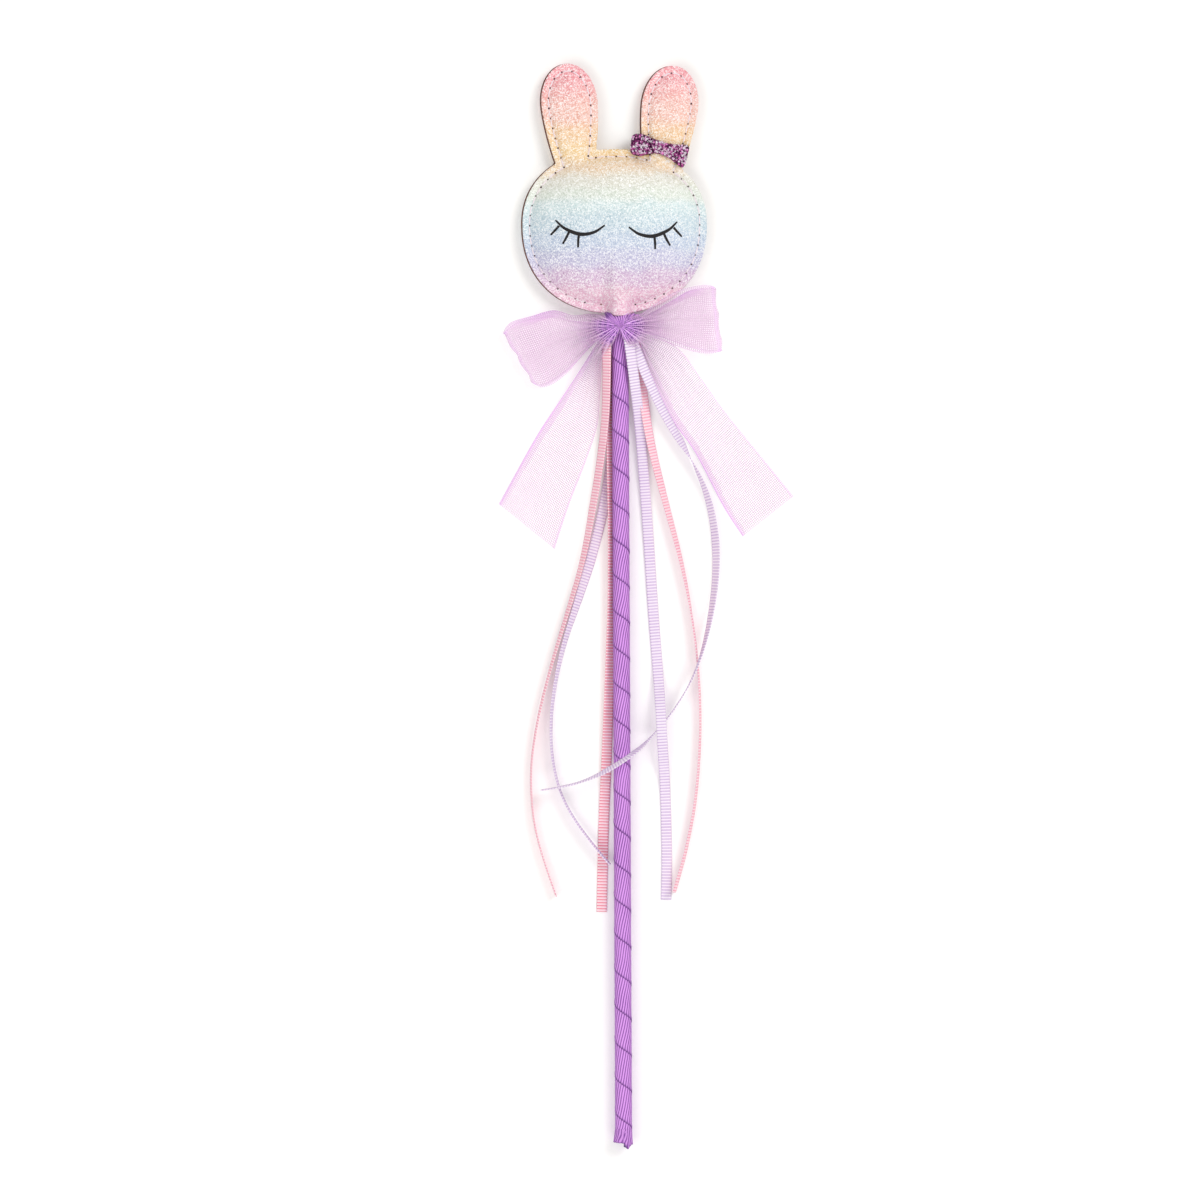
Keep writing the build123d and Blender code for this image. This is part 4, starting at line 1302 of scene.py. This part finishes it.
def make_knot():
    """The gathered middle of the bow: a pad of folds round the stick, the pleats that fan out of it,
    and the band that ties it."""
    rows, columns = 60, 120
    v = np.linspace(0.02, math.pi - 0.02, rows)[:, None]
    u = 2 * math.pi * np.arange(columns)[None, :] / columns
    x, y, z = np.sin(v) * np.cos(u), np.cos(v) + 0 * u, np.sin(v) * np.sin(u)
    angle = np.arctan2(y * 4.0, x * 7.0)
    folds = np.cos(22 * angle) * smooth_step(np.hypot(x * 7.0, y * 4.0), 0.6, 4.5)
    grow = 1 + 0.04 * folds
    middle = (knot_low[2] + knot_high[2]) / 2
    pad = np.stack(
        [
            STICK_X + 1.4 + 6.6 * np.sign(x) * np.abs(x) ** 0.9 * grow,
            93.9 + 3.4 * np.sign(y) * np.abs(y) ** 0.85 * (1 + 0.25 * np.abs(x)) * grow,
            np.maximum(middle + 3.6 * z * grow * (1 - 0.25 * np.abs(x)), 0.3),
        ],
        -1,
    )
    faces = ring_faces(rows, columns) + end_caps(rows, columns)
    parts = [(pad.reshape(-1, 3), faces)]
    uvs = [np.stack([angle * 9, z * 4], -1).reshape(-1, 2)]
    # the pad's crease: painted shade in its folds
    creases, dense = [(0.5 - 0.5 * folds).ravel()], [np.full(pad[..., 0].size, 1.7)]
    some, joined, flat, crease, cloth = starburst()
    parts.append((some, joined))
    uvs.append(flat)
    creases.append(crease)
    dense.append(cloth)
    for places, halves, pleats, depth, dark in (
        # the band that ties it, from under the chin down to a point
        (
            [(-9.2, 97.4, 6.0), (-9.0, 96.5, 8.2), (-8.7, 95.3, 9.4), (-8.2, 93.8, 9.9), (-7.8, 92.5, 9.5)],
            [3.4, 3.4, 2.5, 1.4, 0.3], 6, (0.6, 0.2), 0.75,
        ),
        # and its end, which comes out over the chin's left
        (
            [
                (-13.4, 97.8, 5.6), (-12.4, 96.7, 7.6), (-11.0, 95.3, 9.0), (-9.4, 93.8, 9.8),
                (-8.0, 92.4, 9.6),
            ],
            [0.5, 1.1, 0.9, 0.7, 0.3], 2, (0.4, 0.16), 1.0,
        ),
    ):
        some, joined, flat, crease, share = pleated_band(places, halves, pleats, depth)
        parts.append((some, joined))
        uvs.append(flat)
        # painted shade: the band's pleat valleys scaled by dark, or for the end (dark 1.0) shade over its
        # whole width, darkest near the chin
        creases.append(np.where(dark == 1.0, 0.9 - 0.55 * smooth_step(share, 0.25, 0.5), dark * crease))
        dense.append(0.5 + 1.2 * smooth_step(share, 0, 0.3))
    points, faces = gather(parts)
    made = piece("bow_knot", points, faces, ["lilac_organza"], uv=np.vstack(uvs))
    set_attribute(made, "dense", np.concatenate(dense))
    set_attribute(made, "crease", np.concatenate(creases))


make_knot()


# ---- stick --------------------------------------------------------------------------------------

WIND_PITCH, WIND_RIB, RIB_SLANT = 12.0, 0.9, math.radians(12.0)
WIND_LAP, STATIONS_PER_RIB, FOLD_RIBS = 0.7, 5, 18


def make_winding():
    """The handle's ribbon as it is wound: one band in a rising helix, each turn's edge on the last."""
    arc_per_turn = 2 * math.pi * WRAP_R
    ahead = unit(np.array([arc_per_turn, -WIND_PITCH]))
    rib = np.array([math.sin(RIB_SLANT), math.cos(RIB_SLANT)])
    sine = abs(ahead[0] * rib[1] - ahead[1] * rib[0])
    band = WIND_PITCH * ahead[0] + WIND_LAP  # the ribbon's width: one pitch square to its run, and the lap
    reach = band / sine
    step = WIND_RIB / sine / STATIONS_PER_RIB
    top_y, foot_y = wrap_high[1] - 0.3, fold_low[1] + 2.6
    turns = (top_y - foot_y + reach) / WIND_PITCH
    count = int(turns * math.hypot(arc_per_turn, WIND_PITCH) / step)
    s = np.arange(count)[:, None] * step
    columns = 15
    t = np.linspace(0, 1, columns)[None, :]
    sway = 0.55 * ripples(s / 2.5, t * 9, 11, 3)  # the ribs waver a little
    rib_wave = np.cos(2 * math.pi * (np.arange(count)[:, None] / STATIONS_PER_RIB + sway * 0.35))
    arc = s * ahead[0] + t * reach * rib[0]
    y = top_y + s * ahead[1] + (t - 1) * reach * rib[1] + 0.1 * np.sin(s / 37.0) + 0.07 * np.sin(s / 9.0)
    y = np.clip(y, foot_y, top_y)
    lap = 0.28 * (1 - smooth_step(t, 0.02, 0.12)) + 0 * s
    inner = DOWEL_R + 0.02 + lap
    edge = np.clip(np.minimum(t, 1 - t) / 0.04, 0, 1)
    outer = inner + 0.25 * (0.4 + 0.6 * edge) + 0.06 * rib_wave * edge + 0.02 * ripples(s / 3, t * 10, 7, 4)
    sheets = []
    for radius, order in ((outer, slice(None)), (inner, slice(None, None, -1))):
        turn = arc / WRAP_R
        sheets.append(
            np.stack([STICK_X + radius * np.sin(turn), y, STICK_Z + radius * np.cos(turn)], -1)[:, order]
        )
    ring = np.concatenate(sheets, 1)
    along = np.arange(count)[:, None] / STATIONS_PER_RIB * RIB_PITCH + 0.35 * sway * RIB_PITCH
    uv = stacked(t * band, along)
    uv = np.concatenate([uv, uv[:, ::-1]], 1)
    faces = ring_faces(count, 2 * columns)
    made = piece(
        "handle_wrap", ring.reshape(-1, 3), faces, ["purple_grosgrain"], uv=uv.reshape(-1, 2)
    )
    # painted shade along both edges of each turn, where one turn's edge lies on the next
    dark = np.broadcast_to(np.exp(-((t / 0.045) ** 2)) + hill(1 - t, 0.03), (count, columns))
    set_attribute(made, "seam", np.concatenate([dark, dark], 1).ravel())


make_winding()


def make_end_fold():
    """The ribbon's end turned over the foot of the stick and glued down, with one corner sticking out."""
    columns, rows = 150, 110
    turn = 2 * math.pi * np.arange(columns)[None, :] / columns
    share = np.linspace(0, 1, rows)[:, None]
    top, foot = fold_high[1] + 0.6, fold_low[1] + 2.2
    wall = np.clip(share / 0.8, 0, 1)
    under = np.clip((share - 0.8) / 0.2, 0, 1)
    corner = hill(turn - 0.55, 0.32)
    ragged = 0.28 * ripples(turn * 3, 0 * turn, 5, 6) + 0.12 * np.sin(turn * 19)
    low = foot + ragged * 0.5 - 1.9 * corner - 0.7 * hill(turn - 1.2, 0.6)
    y = top + (low - top) * wall + 0.5 * under
    leftward = 1 - 0.8 * smooth_step(np.sin(turn), -0.3, 0.8)
    flare = WRAP_R - 0.06 + (FOLD_R - WRAP_R + 0.02) * wall**1.5 * leftward
    lean = turn + (top - y) * math.tan(RIB_SLANT) / WRAP_R + 0.10 * ripples(turn * 3, y, 4, 2)
    ribs = np.cos(lean * FOLD_RIBS) * np.clip(wall * 6, 0, 1)
    radius = flare + 0.07 * ribs + 0.09 * ripples(turn * 4, y, 6, 9) * wall
    radius = radius - 0.35 * corner * smooth_step(share, 0.62, 0.8)
    radius = radius * (1 - under) ** 0.6 + 0.05
    x, z = STICK_X + radius * np.sin(turn), np.maximum(STICK_Z + radius * np.cos(turn), 0.02)
    points = stacked(x, y, z)
    faces = ring_faces(rows, columns) + end_caps(rows, columns)
    uv = stacked(y, lean * FOLD_RIBS * RIB_PITCH / (2 * math.pi))
    made = piece(
        "handle_end_fold", points.reshape(-1, 3), faces, ["purple_grosgrain"], uv=uv.reshape(-1, 2)
    )
    # the whole fold a little darker, and painted shade on the bottom edge and the end turned under the foot
    dark = 0.16 + 0.7 * smooth_step(share, 0.7, 0.8) + 0 * turn
    set_attribute(made, "seam", dark.ravel())


make_end_fold()

# the stick itself, its lower end inside the fold
DOWEL_IN_FOLD, CHAMFER = 3.3, 0.5
dowel_y = np.array([
    fold_low[1] + DOWEL_IN_FOLD, fold_low[1] + DOWEL_IN_FOLD + CHAMFER,
    *np.linspace(-150, 100, 11), dowel_high[1] - CHAMFER, dowel_high[1],
])
dowel_line = np.stack([0 * dowel_y + STICK_X, dowel_y, 0 * dowel_y + STICK_Z], 1)
dowel_half = np.full(len(dowel_y), DOWEL_R)
dowel_half[[0, -1]] -= 0.4
piece("dowel", *tube(dowel_line, dowel_half, 64), ["birch"])

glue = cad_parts["head_glue"]
glue.data.materials.clear()
glue.data.materials.append(MATERIALS["hot_melt"])
